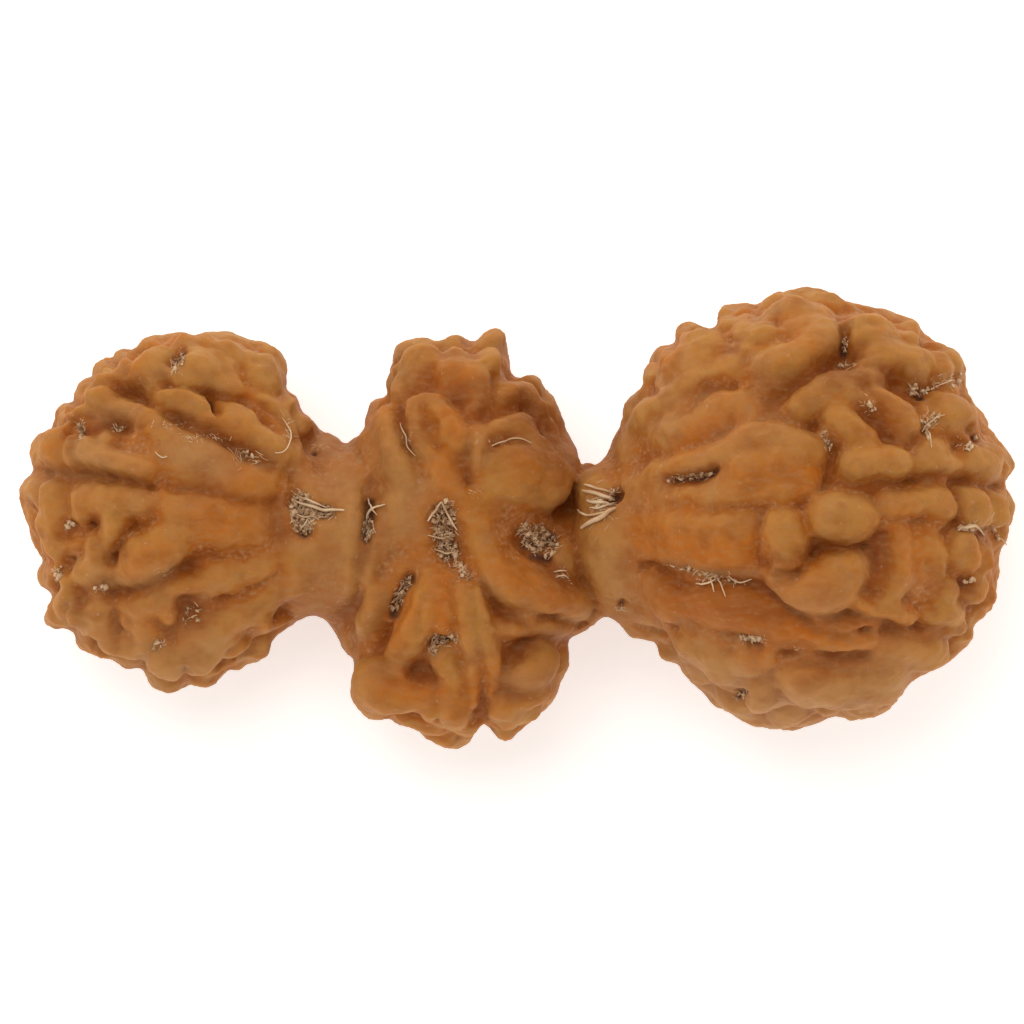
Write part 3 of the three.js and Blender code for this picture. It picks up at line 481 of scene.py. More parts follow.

# %% [markdown]
# ## The strokes of the upper side
# Each line is one rib or knob: half width, height, then the plan points of its crest, read
# against a millimetre grid. Noise could throw up knobs as well, but it can't tell one stone's ribs
# from another's. The left stone comes first, then the squeezed one, then the large one.

# %% Ribs and knobs of the left stone
LEFT_KNOBS = [
    (0.42, 0.5, -15.05, 3.55, -14.7, 3.9, -14.2, 4.0, -13.7, 3.95, -13.2, 3.65, -12.7, 3.3, -12.1, 2.9),
    (0.36, 0.5, -14.5, 2.85),
    (0.6, 0.26, -13.4, 2.85, -12.9, 2.5),
    (0.44, 0.84, -15.15, 2.26, -14.6, 2.25, -14.0, 2.1, -13.35, 1.9),
    (0.7, 0.66, -16.55, 2.65, -16.2, 2.5),
    (0.4, 0.5, -16.95, 2.4),
    (0.46, 0.72, -15.95, 3.75, -15.7, 3.75),
    (0.46, 0.75, -15.1, 4.65, -14.7, 4.65),
    (0.46, 0.7, -14.5, 5.25),
    (0.5, 0.7, -13.75, 5.6, -13.5, 5.5),
    (0.56, 0.68, -12.65, 6.0, -12.8, 5.5, -13.0, 5.05),
    (0.35, 0.3, -13.8, 4.95),
    (0.45, 0.5, -11.6, 6.2, -11.4, 5.95),
    (0.68, 0.8, -11.3, 5.0, -10.95, 5.1),
    (0.46, 0.75, -12.3, 4.4, -11.7, 4.35, -11.15, 4.15, -10.8, 3.85),
    (0.6, 0.5, -10.6, 6.1, -10.1, 6.05),
    (0.38, 0.42, -10.1, 5.5),
    (0.36, 0.3, -9.9, 5.9, -9.9, 4.9),
    (0.38, 0.36, -9.15, 5.8, -9.1, 5.0),
    (0.46, 0.5, -10.15, 4.95, -9.8, 4.5, -9.2, 4.3, -8.65, 4.05, -8.2, 3.55, -7.85, 3.0, -7.6, 2.3,
     -7.45, 1.7),
    (0.45, 0.4, -8.55, 5.5, -8.45, 4.8),
    (0.6, 0.72, -10.0, 3.65, -9.6, 3.6, -9.15, 3.2, -8.75, 2.85, -8.35, 2.5),
    (0.4, 0.42, -7.85, 4.05),
    (0.4, 0.35, -7.25, 3.3),
    (0.95, 0.46, -12.3, 2.5, -11.4, 2.3, -10.4, 1.85, -9.4, 1.35, -8.3, 0.95),
    (0.42, 0.5, -15.45, 0.8, -15.5, 0.2),
    (0.6, 0.55, -14.9, 0.7, -14.0, 0.65, -13.3, 0.45),
    (0.42, 0.5, -14.35, 0.1, -14.25, -0.3, -14.15, -0.6),
    (0.5, 0.5, -16.5, 1.0, -16.5, 0.4),
    (0.42, 0.42, -17.2, 0.8),
    (0.7, 0.42, -12.0, 0.6, -11.7, 0.0, -11.6, -0.5),
    (0.9, 0.44, -11.4, 0.2, -10.4, 0.0, -9.5, -0.2, -8.4, -0.3),
    (0.55, 0.58, -14.85, -1.0, -14.85, -1.6, -15.1, -2.1),
    (0.4, 0.35, -15.7, -0.9),
    (0.68, 0.64, -13.6, -1.9, -13.0, -1.5, -12.4, -1.2, -12.0, -0.8),
    (0.38, 0.55, -16.55, -2.0),
    (0.36, 0.42, -15.95, -2.2),
    (0.5, 0.45, -16.6, -0.3, -16.4, -1.1),
    (0.52, 0.7, -16.1, -3.2, -16.0, -3.5),
    (0.55, 0.52, -14.75, -3.3, -14.7, -4.0),
    (0.4, 0.45, -15.4, -3.7, -15.3, -4.3),
    (0.42, 0.45, -14.5, -4.6, -14.0, -4.75),
    (0.26, 0.35, -13.9, -3.1, -13.85, -3.8),
    (0.5, 0.48, -13.3, -3.3, -12.8, -3.15),
    (0.5, 0.45, -13.2, -3.9, -13.1, -4.5),
    (0.4, 0.45, -13.5, -5.0),
    (0.34, 0.45, -12.2, -2.95, -12.15, -3.6),
    (0.42, 0.42, -12.6, -2.75, -11.8, -2.5, -11.2, -2.4, -10.85, -2.3),
    (0.62, 0.44, -8.2, -1.25, -8.6, -1.55, -9.1, -1.8, -9.8, -2.15, -10.4, -2.35),
    (0.6, 0.42, -8.15, -2.45, -8.5, -2.8, -8.95, -3.15, -9.5, -3.5, -10.2, -3.75, -10.7, -4.1),
    (0.5, 0.45, -11.3, -4.2, -10.8, -4.3),
    (0.45, 0.42, -11.7, -4.6),
    (0.62, 0.6, -12.5, -5.3, -12.1, -5.6),
    (0.55, 0.55, -11.1, -5.35),
    (0.45, 0.42, -10.3, -4.9),
    (0.5, 0.42, -9.6, -4.7),
    (0.45, 0.4, -8.7, -3.75),
]
print("left stone:", len(LEFT_KNOBS), "strokes")

# %% Ribs and knobs of the squeezed stone
MIDDLE_KNOBS = [
    (0.62, 0.52, -3.7, 5.85, -3.4, 5.9),
    (0.45, 0.4, -3.7, 5.2),
    (0.42, 0.45, -2.1, 6.0),
    (0.42, 0.5, -0.8, 6.15, -0.75, 5.6),
    (0.45, 0.55, -2.7, 5.35, -2.2, 5.35, -1.6, 5.15, -1.25, 4.9, -1.15, 4.4),
    (0.5, 0.3, -2.4, 4.7, -1.8, 4.6),
    (0.32, 0.4, -4.3, 5.3, -4.3, 4.6),
    (0.42, 0.45, -4.75, 3.9, -4.6, 3.3),
    (0.5, 0.35, -4.5, 3.2, -4.3, 2.4, -4.1, 1.6),
    (0.38, 0.58, -3.3, 2.4, -3.55, 3.0, -3.65, 3.6, -3.6, 4.0, -3.2, 4.2, -2.75, 4.0, -2.35, 3.6, -2.35, 3.1),
    (0.4, 0.25, -3.0, 3.4, -3.0, 2.9),
    (0.42, 0.5, -2.0, 3.1, -1.95, 2.75),
    (0.3, 0.45, -1.3, 3.2, -1.3, 2.5, -1.4, 1.9),
    (0.52, 0.5, -2.7, 2.0, -2.55, 1.5, -2.4, 1.0),
    (0.42, 0.52, -0.95, 2.9, -0.6, 3.3, -0.1, 3.45, 0.4, 3.35, 0.85, 3.0, 1.2, 2.5, 1.45, 2.0),
    (0.45, 0.42, -0.6, 2.0, -0.1, 2.15, 0.5, 2.1, 1.1, 1.85, 1.8, 1.6),
    (1.0, 0.42, -0.5, 1.4, 0.3, 1.3, 1.1, 1.1),
    (0.85, 0.36, 0.6, 0.8, 1.4, 0.9, 2.0, 1.1),
    (0.42, 0.45, -0.3, 4.5, 0.2, 4.55, 0.6, 4.6),
    (0.32, 0.4, 1.0, 4.1, 1.35, 3.5, 1.75, 2.8),
    (0.45, 0.2, -4.3, 1.2, -4.25, 0.2, -4.3, -0.8),
    (0.42, 0.2, -5.75, 0.6, -5.85, -0.6, -5.85, -1.8, -5.9, -2.8),
    (0.34, 0.36, -5.1, -1.9, -5.2, -2.7, -5.4, -3.4, -5.65, -4.0),
    (0.54, 0.66, -3.15, -2.2, -3.4, -3.1, -3.75, -3.9, -4.15, -4.6, -4.35, -5.0),
    (0.42, 0.52, -2.75, -2.3, -2.65, -3.1, -2.65, -3.8),
    (0.34, 0.5, -1.95, -2.5, -1.8, -3.6, -1.65, -4.7, -1.6, -5.6, -1.6, -6.6),
    (0.42, 0.52, -1.3, -2.7, -1.1, -3.7, -0.9, -4.7, -0.8, -5.5, -0.8, -6.1),
    (0.62, 0.56, -1.15, -0.8, -0.9, -1.5, -0.5, -2.1, 0.1, -2.6, 0.9, -2.95, 1.8, -3.1, 2.5, -3.2),
    (0.45, 0.42, -0.3, -3.9, 0.4, -3.9, 1.2, -3.85, 1.9, -3.85),
    (0.62, 0.6, 0.1, -5.3, 0.7, -5.15, 1.2, -4.8),
    (0.35, 0.3, -0.3, -5.6),
    (0.5, 0.35, 0.3, -6.4, 1.0, -6.0),
    (0.5, 0.5, -0.6, -6.9, -0.5, -7.3),
    (0.44, 0.52, -2.7, -5.0, -2.5, -5.5, -2.2, -6.2, -2.05, -6.9, -2.0, -7.4),
    (0.65, 0.45, -3.9, -6.4, -3.3, -6.4),
    (0.55, 0.48, -5.3, -5.6, -5.3, -6.2),
    (0.5, 0.42, -4.7, -6.6),
    (0.4, 0.4, -3.2, -7.1),
]
print("squeezed stone:", len(MIDDLE_KNOBS), "strokes")

# %% Ribs and knobs of the large stone
LARGE_KNOBS = [
    (0.5, 0.5, 3.95, 3.4, 4.2, 3.9, 4.45, 4.2),
    (0.5, 0.5, 4.75, 4.9, 4.95, 5.4, 5.15, 5.8),
    (0.5, 0.55, 5.8, 6.4, 6.3, 6.55),
    (0.5, 0.52, 5.3, 5.25, 6.0, 5.75, 6.6, 6.05, 7.1, 6.2),
    (0.45, 0.5, 7.3, 7.05, 7.8, 7.2),
    (0.72, 0.62, 7.95, 6.55, 8.5, 6.65),
    (0.6, 0.45, 9.0, 7.35, 9.8, 7.55, 10.6, 7.55),
    (0.55, 0.42, 9.7, 6.9, 10.4, 7.0),
    (0.55, 0.55, 4.3, 3.65, 4.9, 4.05, 5.5, 4.5, 6.2, 4.95, 6.9, 5.15, 7.6, 5.15),
    (0.55, 0.55, 5.0, 2.95, 5.8, 3.3, 6.5, 3.65, 7.2, 3.95, 7.9, 4.1),
    (0.6, 0.3, 7.6, 4.8, 8.3, 4.9),
    (0.68, 0.66, 8.6, 5.4, 9.3, 5.5, 9.9, 5.8, 10.4, 6.2, 10.9, 6.6),
    (0.6, 0.6, 11.8, 6.75, 12.5, 6.85, 13.1, 6.75),
    (0.42, 0.45, 13.65, 6.7, 13.85, 6.5),
    (0.58, 0.62, 12.2, 5.15, 12.7, 5.65, 13.3, 5.9, 13.9, 5.85, 14.2, 5.5),
    (0.4, 0.35, 11.9, 5.15),
    (0.6, 0.55, 14.6, 5.8, 15.1, 5.55, 15.5, 5.3),
    (0.36, 0.36, 15.6, 4.7),
    (0.66, 0.66, 14.8, 3.95, 15.4, 3.75, 16.0, 3.35),
    (0.36, 0.3, 16.6, 2.95),
    (0.5, 0.6, 12.3, 4.45, 12.9, 4.3, 13.4, 3.95, 13.8, 3.45),
    (0.6, 0.58, 14.85, 2.65, 14.5, 2.15, 14.9, 1.9, 15.45, 1.9),
    (0.66, 0.62, 16.35, 2.15, 17.0, 2.0),
    (0.55, 0.58, 13.3, 0.45, 14.0, 0.5, 14.7, 0.55, 15.2, 0.35),
    (0.6, 0.56, 16.2, 0.5, 16.4, 0.1),
    (0.42, 0.5, 17.2, 0.6, 17.2, 0.1),
    (0.56, 0.56, 15.85, -0.95, 15.95, -1.4),
    (0.66, 0.5, 13.4, -0.8, 13.4, -1.4, 13.3, -2.1, 13.0, -2.6),
    (0.72, 0.42, 14.5, -0.85, 14.65, -1.4, 14.55, -2.0, 14.3, -2.5),
    (0.4, 0.34, 14.0, -0.75, 14.05, -1.1),
    (0.42, 0.45, 16.7, -1.2, 16.7, -1.6),
    (0.5, 0.5, 16.5, -2.4, 16.45, -2.8),
    (0.42, 0.55, 12.1, -3.05, 13.0, -3.3, 13.9, -3.55),
    (0.42, 0.5, 14.5, -3.5, 15.1, -3.6, 15.7, -3.6),
    (0.5, 0.42, 15.1, -2.5, 15.0, -3.0),
    (0.5, 0.55, 9.95, 4.15, 10.5, 4.6, 11.1, 4.85, 11.6, 4.7, 11.85, 4.3),
    (0.5, 0.4, 10.9, 4.1, 11.5, 4.0),
    (0.56, 0.6, 11.2, 3.55, 11.7, 3.3, 12.3, 2.85),
    (0.66, 0.66, 12.1, 2.0, 12.8, 2.05, 13.35, 2.05),
    (0.84, 0.6, 11.05, 0.15, 11.85, -0.05),
    (0.66, 0.6, 9.3, -0.3, 9.45, -0.9),
    (0.84, 0.72, 9.5, -2.3, 10.2, -2.65, 10.9, -2.65, 11.45, -2.15),
    (0.75, 0.55, 4.7, -2.6, 5.8, -2.95, 7.0, -3.3, 8.0, -3.55, 9.0, -3.85, 9.9, -4.1),
    (0.62, 0.55, 10.5, -4.2, 11.4, -4.3, 12.3, -4.35),
    (0.7, 0.5, 13.3, -4.6, 14.2, -4.75, 15.0, -4.5),
    (0.5, 0.5, 15.7, -4.15),
    (0.5, 0.36, 14.2, -5.2, 15.0, -4.95),
    (1.0, 0.45, 11.6, -6.05, 12.9, -6.0),
    (0.9, 0.48, 9.9, -5.45, 10.2, -6.0),
    (0.58, 0.5, 8.2, -4.95, 8.6, -4.9),
    (0.8, 0.42, 6.2, -4.75, 7.0, -5.3),
    (0.7, 0.35, 8.5, -6.4),
    (0.95, 0.5, 4.1, -0.5, 5.2, -0.65, 6.6, -0.7, 7.8, -0.65),
    (0.5, 0.5, 3.7, 0.95, 4.5, 1.45, 5.3, 1.85, 6.3, 2.1, 7.1, 2.4, 7.9, 2.8, 8.7, 2.95, 9.6, 2.75,
     10.3, 2.3),
    (0.8, 0.5, 7.4, 1.6, 8.4, 1.75, 9.5, 1.9),
    (0.5, 0.42, 4.4, 0.85, 5.6, 0.8, 7.0, 0.85, 8.6, 0.85, 9.6, 0.95, 10.2, 1.3),
    (0.7, 0.22, 2.9, 1.3, 2.6, 0.6, 2.5, -0.4, 2.6, -1.4, 3.0, -2.3, 3.4, -2.9),
]
print("large stone:", len(LARGE_KNOBS), "strokes")

# %% [markdown]
# ## Grooves and pits
# Between the ribs run the pole-to-pole lines, and some open into pits. A boolean cut would leave hard
# edges, so they are strokes again, with half width, depth and plan points, that lower the shell. A pit
# is the same with steeper sides.

# %% Groove and pit lists
GROOVES = [
    # left stone
    (0.22, 0.34, -17.0, 1.65, -16.2, 1.6, -15.3, 1.52, -14.4, 1.4, -13.5, 1.28, -13.0, 1.2),
    (0.17, 0.2, -12.2, 1.05, -11.4, 0.95, -10.3, 0.7, -9.2, 0.6, -8.3, 0.55),
    (0.2, 0.3, -13.2, 4.15, -12.5, 3.75, -11.7, 3.35, -11.0, 3.05, -10.2, 2.65, -9.4, 2.15, -8.8, 1.8),
    (0.2, 0.3, -15.5, -2.75, -14.9, -2.85, -14.2, -2.7, -13.4, -2.65, -12.6, -2.4, -12.0, -2.1, -11.3, -1.8),
    (0.25, 0.2, -11.3, -1.8, -10.7, -1.4, -10.0, -1.45, -9.3, -1.35, -8.8, -1.0),
    (0.14, 0.2, -10.4, -2.95, -9.7, -2.8, -9.1, -2.45, -8.5, -2.0),
    (0.34, 0.2, -11.4, -3.1, -11.5, -3.55),
    (0.16, 0.34, -15.0, -0.25, -14.6, -0.7, -14.25, -1.15, -14.0, -1.5),
    (0.17, 0.32, -13.3, -0.3, -13.6, -0.6, -13.85, -1.0, -14.0, -1.5),
    (0.22, 0.34, -15.05, 3.35, -14.5, 3.45, -14.0, 3.4, -13.6, 3.15),
    (0.15, 0.4, -15.5, 3.2, -15.6, 2.7, -15.65, 2.3, -15.6, 1.8),
    (0.15, 0.22, -9.1, 3.9, -8.6, 3.4, -8.2, 3.0, -8.0, 2.6),
    (0.15, 0.2, -12.2, 3.85, -11.6, 3.7, -11.0, 3.5),
    (0.14, 0.2, -9.15, 6.0, -9.2, 5.5),
    (0.15, 0.38, -16.3, -1.6, -16.2, -2.0, -16.3, -2.5),
    (0.16, 0.38, -15.6, -3.0, -15.65, -3.5, -15.5, -3.9),
    (0.15, 0.34, -15.0, -4.2, -14.9, -4.6),
    (0.15, 0.3, -14.0, -3.2, -14.05, -3.9, -13.9, -4.4),
    (0.15, 0.36, -13.0, -5.0, -12.9, -5.5),
    (0.15, 0.36, -11.6, -5.1, -11.6, -5.7),
    (0.14, 0.32, -10.4, -5.3, -10.2, -4.6, -9.5, -4.3),
    (0.17, 0.5, -15.5, 3.75, -15.3, 4.1, -14.9, 4.3, -14.4, 4.42, -13.9, 4.5, -13.4, 4.45, -13.0, 4.3),
    (0.15, 0.4, -16.6, 3.2, -16.0, 3.35, -15.5, 3.3),
    (0.15, 0.4, -15.9, 4.2, -15.5, 4.15, -15.2, 4.15),
    (0.15, 0.4, -15.0, 5.0, -14.6, 4.92, -14.1, 4.9),
    (0.13, 0.36, -14.3, 5.75, -14.1, 5.2),
    (0.15, 0.36, -13.35, 6.1, -13.3, 5.4, -13.5, 4.9),
    # squeezed stone
    (0.14, 0.24, -4.1, 3.8, -4.0, 3.0, -3.75, 2.5, -3.3, 2.05),
    (0.14, 0.22, -1.65, 2.7, -1.6, 2.0, -1.65, 1.3),
    (0.15, 0.2, -0.85, 4.9, -0.85, 4.1),
    (0.2, 0.24, -0.75, 2.6, -0.3, 2.8, 0.2, 2.75, 0.65, 2.55, 1.05, 2.25),
    (0.24, 0.34, 0.2, 4.1, 0.7, 3.65, 1.15, 3.0, 1.5, 2.3),
    (0.14, 0.2, -2.75, 6.2, -2.7, 5.7),
    (0.24, 0.2, -5.1, 1.3, -5.05, 0.4, -5.2, -0.8, -5.4, -1.7),
    (0.18, 0.16, -5.55, -2.0, -5.7, -3.0, -6.0, -3.8),
    (0.18, 0.2, -4.7, -3.9, -4.95, -4.7),
    (0.17, 0.3, -1.15, -2.3, -0.8, -3.0, -0.3, -3.45, 0.2, -3.6),
    (0.11, 0.14, -2.25, -2.3, -2.15, -3.3, -2.1, -4.2),
    (0.12, 0.1, -1.5, -2.9, -1.35, -4.0, -1.25, -5.2, -1.2, -6.4, -1.25, -7.2),
    (0.14, 0.18, 0.0, -4.7, 0.3, -4.45, 0.8, -4.25, 1.7, -4.1),
    (0.16, 0.2, -0.7, -6.2, -0.1, -6.2, 0.5, -6.15, 1.0, -5.9, 1.45, -5.6),
    (0.3, 0.22, -3.5, -5.45, -3.1, -5.5),
    (0.12, 0.1, -1.95, -5.0, -1.85, -6.0, -1.7, -7.0),
    (0.15, 0.3, -4.55, -3.9, -4.75, -4.6, -4.65, -5.1),
    (0.14, 0.24, -3.2, -2.8, -3.3, -3.4, -3.35, -3.9),
    (0.16, 0.16, -4.6, -5.55, -4.0, -5.75),
    (0.28, 0.25, 1.0, -1.5, 1.5, -1.9),
    # large stone
    (0.2, 0.22, 4.9, 3.6, 5.5, 3.85, 6.0, 4.15, 6.6, 4.4, 7.2, 4.5, 7.6, 4.4),
    (0.15, 0.25, 5.45, 6.0, 5.3, 5.5, 5.15, 5.1, 5.25, 4.8, 5.5, 4.65),
    (0.15, 0.2, 4.6, 4.5, 4.85, 4.35, 5.1, 4.4),
    (0.14, 0.22, 7.6, 6.1, 8.2, 5.93, 8.7, 5.9, 9.1, 6.05),
    (0.15, 0.2, 9.15, 7.2, 9.2, 6.5),
    (0.22, 0.25, 8.6, 4.8, 9.4, 4.75, 10.2, 4.95, 10.7, 5.25, 11.3, 5.6),
    (0.4, 0.12, 4.2, 2.0, 5.2, 2.4, 6.4, 2.9, 7.5, 3.5, 8.4, 3.9, 9.2, 4.4),
    (0.15, 0.2, 11.6, 6.1, 12.3, 6.2, 13.1, 6.35, 13.4, 6.55),
    (0.14, 0.22, 12.0, 4.9, 12.8, 4.8, 13.4, 4.6, 13.9, 4.4),
    (0.14, 0.2, 14.2, 6.0, 14.35, 5.3, 14.35, 4.8),
    (0.16, 0.28, 12.05, 4.3, 12.4, 3.85, 12.85, 3.35, 13.1, 2.9),
    (0.14, 0.2, 14.6, 3.15, 15.2, 3.05, 15.9, 2.85),
    (0.15, 0.28, 11.9, 1.2, 12.7, 1.25, 13.6, 1.3, 14.4, 1.35, 15.2, 1.3, 16.2, 1.2, 17.1, 1.2),
    (0.17, 0.3, 10.4, 3.3, 10.85, 2.8, 11.05, 2.3, 10.95, 1.6, 10.6, 1.0),
    (0.13, 0.18, 15.55, 0.8, 15.6, 0.2),
    (0.12, 0.12, 13.0, -0.05, 14.0, -0.1, 15.0, -0.1),
    (0.2, 0.32, 12.75, -0.7, 12.8, -1.4, 12.65, -2.1, 12.3, -2.7),
    (0.12, 0.14, 14.1, -1.4, 14.0, -2.5),
    (0.14, 0.2, 15.3, -0.7, 15.3, -1.6),
    (0.2, 0.32, 15.5, -2.2, 16.0, -2.1, 16.5, -1.95),
    (0.13, 0.22, 16.95, 0.7, 16.9, 0.0),
    (0.13, 0.22, 16.35, -0.9, 16.4, -1.6),
    (0.12, 0.2, 15.2, -4.2, 15.3, -4.8),
    (0.18, 0.3, 14.0, 4.45, 14.7, 4.6, 15.4, 4.95),
    (0.18, 0.32, 15.35, 2.9, 15.9, 2.75, 16.4, 2.85),
    (0.16, 0.28, 11.9, -3.75, 12.8, -3.9, 13.8, -4.05, 14.5, -4.0, 15.3, -4.05, 15.9, -3.95),
    (0.2, 0.36, 4.5, -1.8, 5.4, -2.1, 6.4, -2.3, 7.5, -2.4, 8.5, -2.55, 9.2, -3.05, 10.0, -3.5, 11.0, -3.72,
     12.0, -3.8),
    (0.14, 0.22, 9.2, -4.6, 10.0, -4.8, 11.0, -5.1, 12.0, -5.1, 12.8, -5.1),
    (0.1, 0.14, 4.4, -2.9, 5.2, -3.6, 6.0, -4.2, 7.0, -4.5, 7.8, -4.55),
    (0.15, 0.34, 8.85, -1.6, 9.5, -1.75, 10.1, -1.45, 10.6, -1.15, 11.4, -1.05, 12.1, -1.05),
    (0.16, 0.12, 5.5, 0.45, 7.0, 0.4, 8.3, 0.35, 9.6, 0.4, 10.2, 0.6),
    (0.14, 0.18, 8.45, 0.1, 8.5, -0.7, 8.5, -1.4),
]
PITS = [
    (0.36, 0.45, -7.65, 0.55, -7.5, 0.0, -7.42, -0.4),
    (0.28, 0.4, -7.15, 0.3, -6.7, 0.22),
    (0.2, 0.5, -12.0, 5.25, -11.75, 5.65),
    (0.13, 0.3, -15.2, 2.9, -15.3, 3.2),
    (0.1, 0.28, -15.0, -0.12),
    (0.1, 0.15, -15.6, -1.4),
    (0.1, 0.25, -11.55, -0.9),
    (0.12, 0.3, -7.15, 2.4),
    (0.16, 0.45, -10.65, 4.05, -10.55, 3.55),
    (0.22, 0.4, -5.05, 0.55, -5.1, 0.1, -5.25, -0.7),
    (0.46, 0.5, -2.6, 0.1, -2.5, -0.5, -2.4, -1.2),
    (0.22, 0.4, -3.75, -2.15, -4.15, -2.65, -4.4, -3.4),
    (0.2, 0.35, -2.95, -4.35, -2.5, -4.3),
    (0.42, 0.5, 0.4, -0.75, 0.9, -0.65, 1.2, -0.6),
    (0.2, 0.5, 0.55, -1.3, 1.2, -1.35),
    (0.2, 0.5, 3.25, 0.7, 3.45, 0.85),
    (0.2, 0.55, 11.4, 6.4, 11.45, 5.85),
    (0.2, 0.35, 8.2, -4.35, 8.5, -4.35),
    (0.17, 0.35, 7.7, -6.4, 8.0, -6.1),
    (0.16, 0.4, 5.5, 1.35, 6.2, 1.4, 7.0, 1.7),
    (0.14, 0.25, 3.6, -3.1),
    (0.14, 0.3, 15.8, 2.5),
    (0.18, 0.3, 15.65, -2.4),
    (0.2, 0.35, 14.35, 3.3, 14.2, 4.2),
    (0.2, 0.3, 9.2, -1.85, 9.7, -1.8),
    (0.12, 0.2, -2.8, -7.1),
]
print("grooves:", len(GROOVES), "pits:", len(PITS))

# %% [markdown]
# ## The hidden side
# The underside isn't seen, so its knobs follow the rule of the visible ones: rows from pole to pole,
# long near the poles and short at the equator, each with a little seeded wander. A knob is left out
# where the upper strokes already fill the place. Three lower ones are the feet that carry the row.

# %% Rows of further knobs
# Each stone's centre, pole, knobs in a row, the rows in degrees from the equator, and its reach in x.
STONES = [
    ((-12.0, 0.3, 6.05), (0.86, 0, 0.51), 20, (-54, -36, -18, 0, 18, 36, 54), (-18, -7.3)),
    ((-2.0, -0.8, 6.15), (0, 0.05, 1.0), 18, (-72, -54, -36, -18, 0, 18, 36), (-5.7, 1.5)),
    ((10.2, 0.35, 7.4), (-0.98, 0, 0.2), 24, (-60, -45, -30, -15, 0, 15, 30, 45, 60), (4.1, 18)),
]
# Half width, height and plan point of each foot.
FEET = [(0.95, 1.05, 9.6, 2.1), (0.95, 1.05, 10.7, -1.7), (0.95, 0.92, -12.1, 0.35)]
# Rows beyond this many degrees are near a pole: their knobs are long, and every other one is left out.
POLE_ROW = 50
POLE_HALF_LENGTH = 8
RAY_START = 12


def row_knobs(centre, pole, around, rows, reach, rng):
    """Paths of the rows of knobs round one stone."""
    centre = Vector(centre)
    pole = Vector(pole).normalized()
    side = Vector((0, 1, 0)).cross(pole).normalized()
    across = pole.cross(side)
    for i, level in enumerate(rows):
        long = abs(level) > POLE_ROW
        for j in range(around):
            turn = 2 * math.pi * (j + (i % 2) * 0.5 + 0.4 * (rng.random() - 0.5)) / around
            shift = 6 * (rng.random() - 0.5)
            half = POLE_HALF_LENGTH if long else 3 + 2.5 * rng.random()
            width = 0.56 + 0.2 * rng.random()
            height = 0.5 + 0.16 * rng.random()
            if long and j % 2:
                continue
            path = []
            for k in (-1, 0, 1):
                lat = math.radians(level + shift + k * half)
                aim = pole * math.sin(lat) + (side * math.cos(turn) + across * math.sin(turn)) * math.cos(lat)
                hit = tree.ray_cast(centre + aim * RAY_START, -aim)[0]
                if hit is not None:
                    path.append(ground.find(hit)[1])
            if len(path) == 3 and all(reach[0] < bare[n][0] < reach[1] for n in path):
                yield bare[path], outward[path[1]], width, height


print("feet:", len(FEET))

# %% Raising the visible ribs and knobs
SOFT_CREASE = 0.22
TIP_DROP = 0.12
FLOOR = 0.02
FLOOR_SWELL = 0.06
WANDER = 0.16
# Lobes of the outline run on as ribs, with this share of the room, so far above and below.
RIM_RIB = 0.9
RIB_ABOVE = 2.0
RIB_BELOW = 1.5


def boldness(x):
    """How much wider and higher a stroke is raised than it was read, by its place along the row: ribs
    are low near the pole of the large stone, and bold beyond it."""
    if x < 2.5:
        return 1.06, 1.25
    t = min(max((x - 8.0) / 2.5, 0), 1)
    return 1.2 - 0.12 * t, 1.2 + 0.5 * t


rng = random.Random(4171)
wandered = bare + np.array([noise.noise_vector(Vector(p) * 0.8) * WANDER for p in bare])
swell = np.array([noise.noise(Vector(p) + Vector((5, 0, 9))) for p in bare])
relief = np.full(len(bare), FLOOR) + FLOOR_SWELL * swell
near, room, off, lobes = rim_room(bare, outward, LOBE_SPAN)
relief[near] += np.where(room < NO_LINE, RIM_RIB * lobes * fading(off, RIB_ABOVE, RIB_BELOW), 0)


def pole_fade(p):
    """Ribs rise slowly out of the smooth skin round the poles."""
    if p[0] > 2.5:
        return min(max((p[0] - 3.0) / 2.6, 0.25), 1)
    if p[0] < -6:
        return min(max((math.hypot(p[0] + 7.0, p[1]) - 0.4) / 2.0, 0.4), 1)
    return min(max(math.hypot(p[0] + 2.3, p[1] + 0.5) / 3.0, 0.5), 1)


for knobs in (LEFT_KNOBS, MIDDLE_KNOBS, LARGE_KNOBS):
    for width, height, *plan in knobs:
        wider, higher = boldness(np.mean(plan[0::2]))
        path = path_on(plan, height * higher)
        heights = [higher * height * pole_fade(p) for p in path]
        if len(path) > 4:
            heights[0] -= TIP_DROP
            heights[-1] -= TIP_DROP
        raise_dome(relief, wandered, path, heights, wider * width, SOFT_CREASE, SEEN_FROM_ABOVE)
filled = relief.copy()
print("relief of the upper side up to", round(relief.max(), 2), "mm")

# %% Rows on the hidden side and the feet
# A knob is left out where the skin faces up more than this, or already stands higher than this.
FACING_UP = 0.25
TAKEN = 0.3
for stone in STONES:
    for path, normal, width, height in row_knobs(*stone, rng):
        here = filled[ground.find(path[1])[1]]
        if normal[2] > FACING_UP or here > TAKEN:
            continue
        raise_dome(relief, wandered, path, [height] * 3, width, SOFT_CREASE)

for width, height, x, y in FEET:
    foot = bare[ground.find(Vector((x, y, 0)))[1]][None, :]
    raise_dome(relief, bare, foot, [height], width, SOFT_CREASE)

# %% Lobes and notches of the outline
LOBE_CREASE = 0.12
DEEPEST_NOTCH = 0.8
fall = (off / np.where(on_middle(bare[near]), 1.5, 1.0)) ** 2
lobe = np.where((room < 2) & (fall <= 1.5), room * (1 - fall), -1)
lobe = higher_of(lobe, relief[near], LOBE_CREASE)
relief[near] = np.minimum(lobe, np.maximum(room, -DEEPEST_NOTCH))
relief = smoothed_on(shell, relief, 4)
print("points near the outline:", len(near))

# %% Knobs on the flanks
# Creases between cells break the flanks into knobs, but leave the outline and the necks as they are.
CELL = 1.7
CELL_SWELL = 0.45
CELL_CREASE = 0.3
CREASE_WIDTH = 0.25
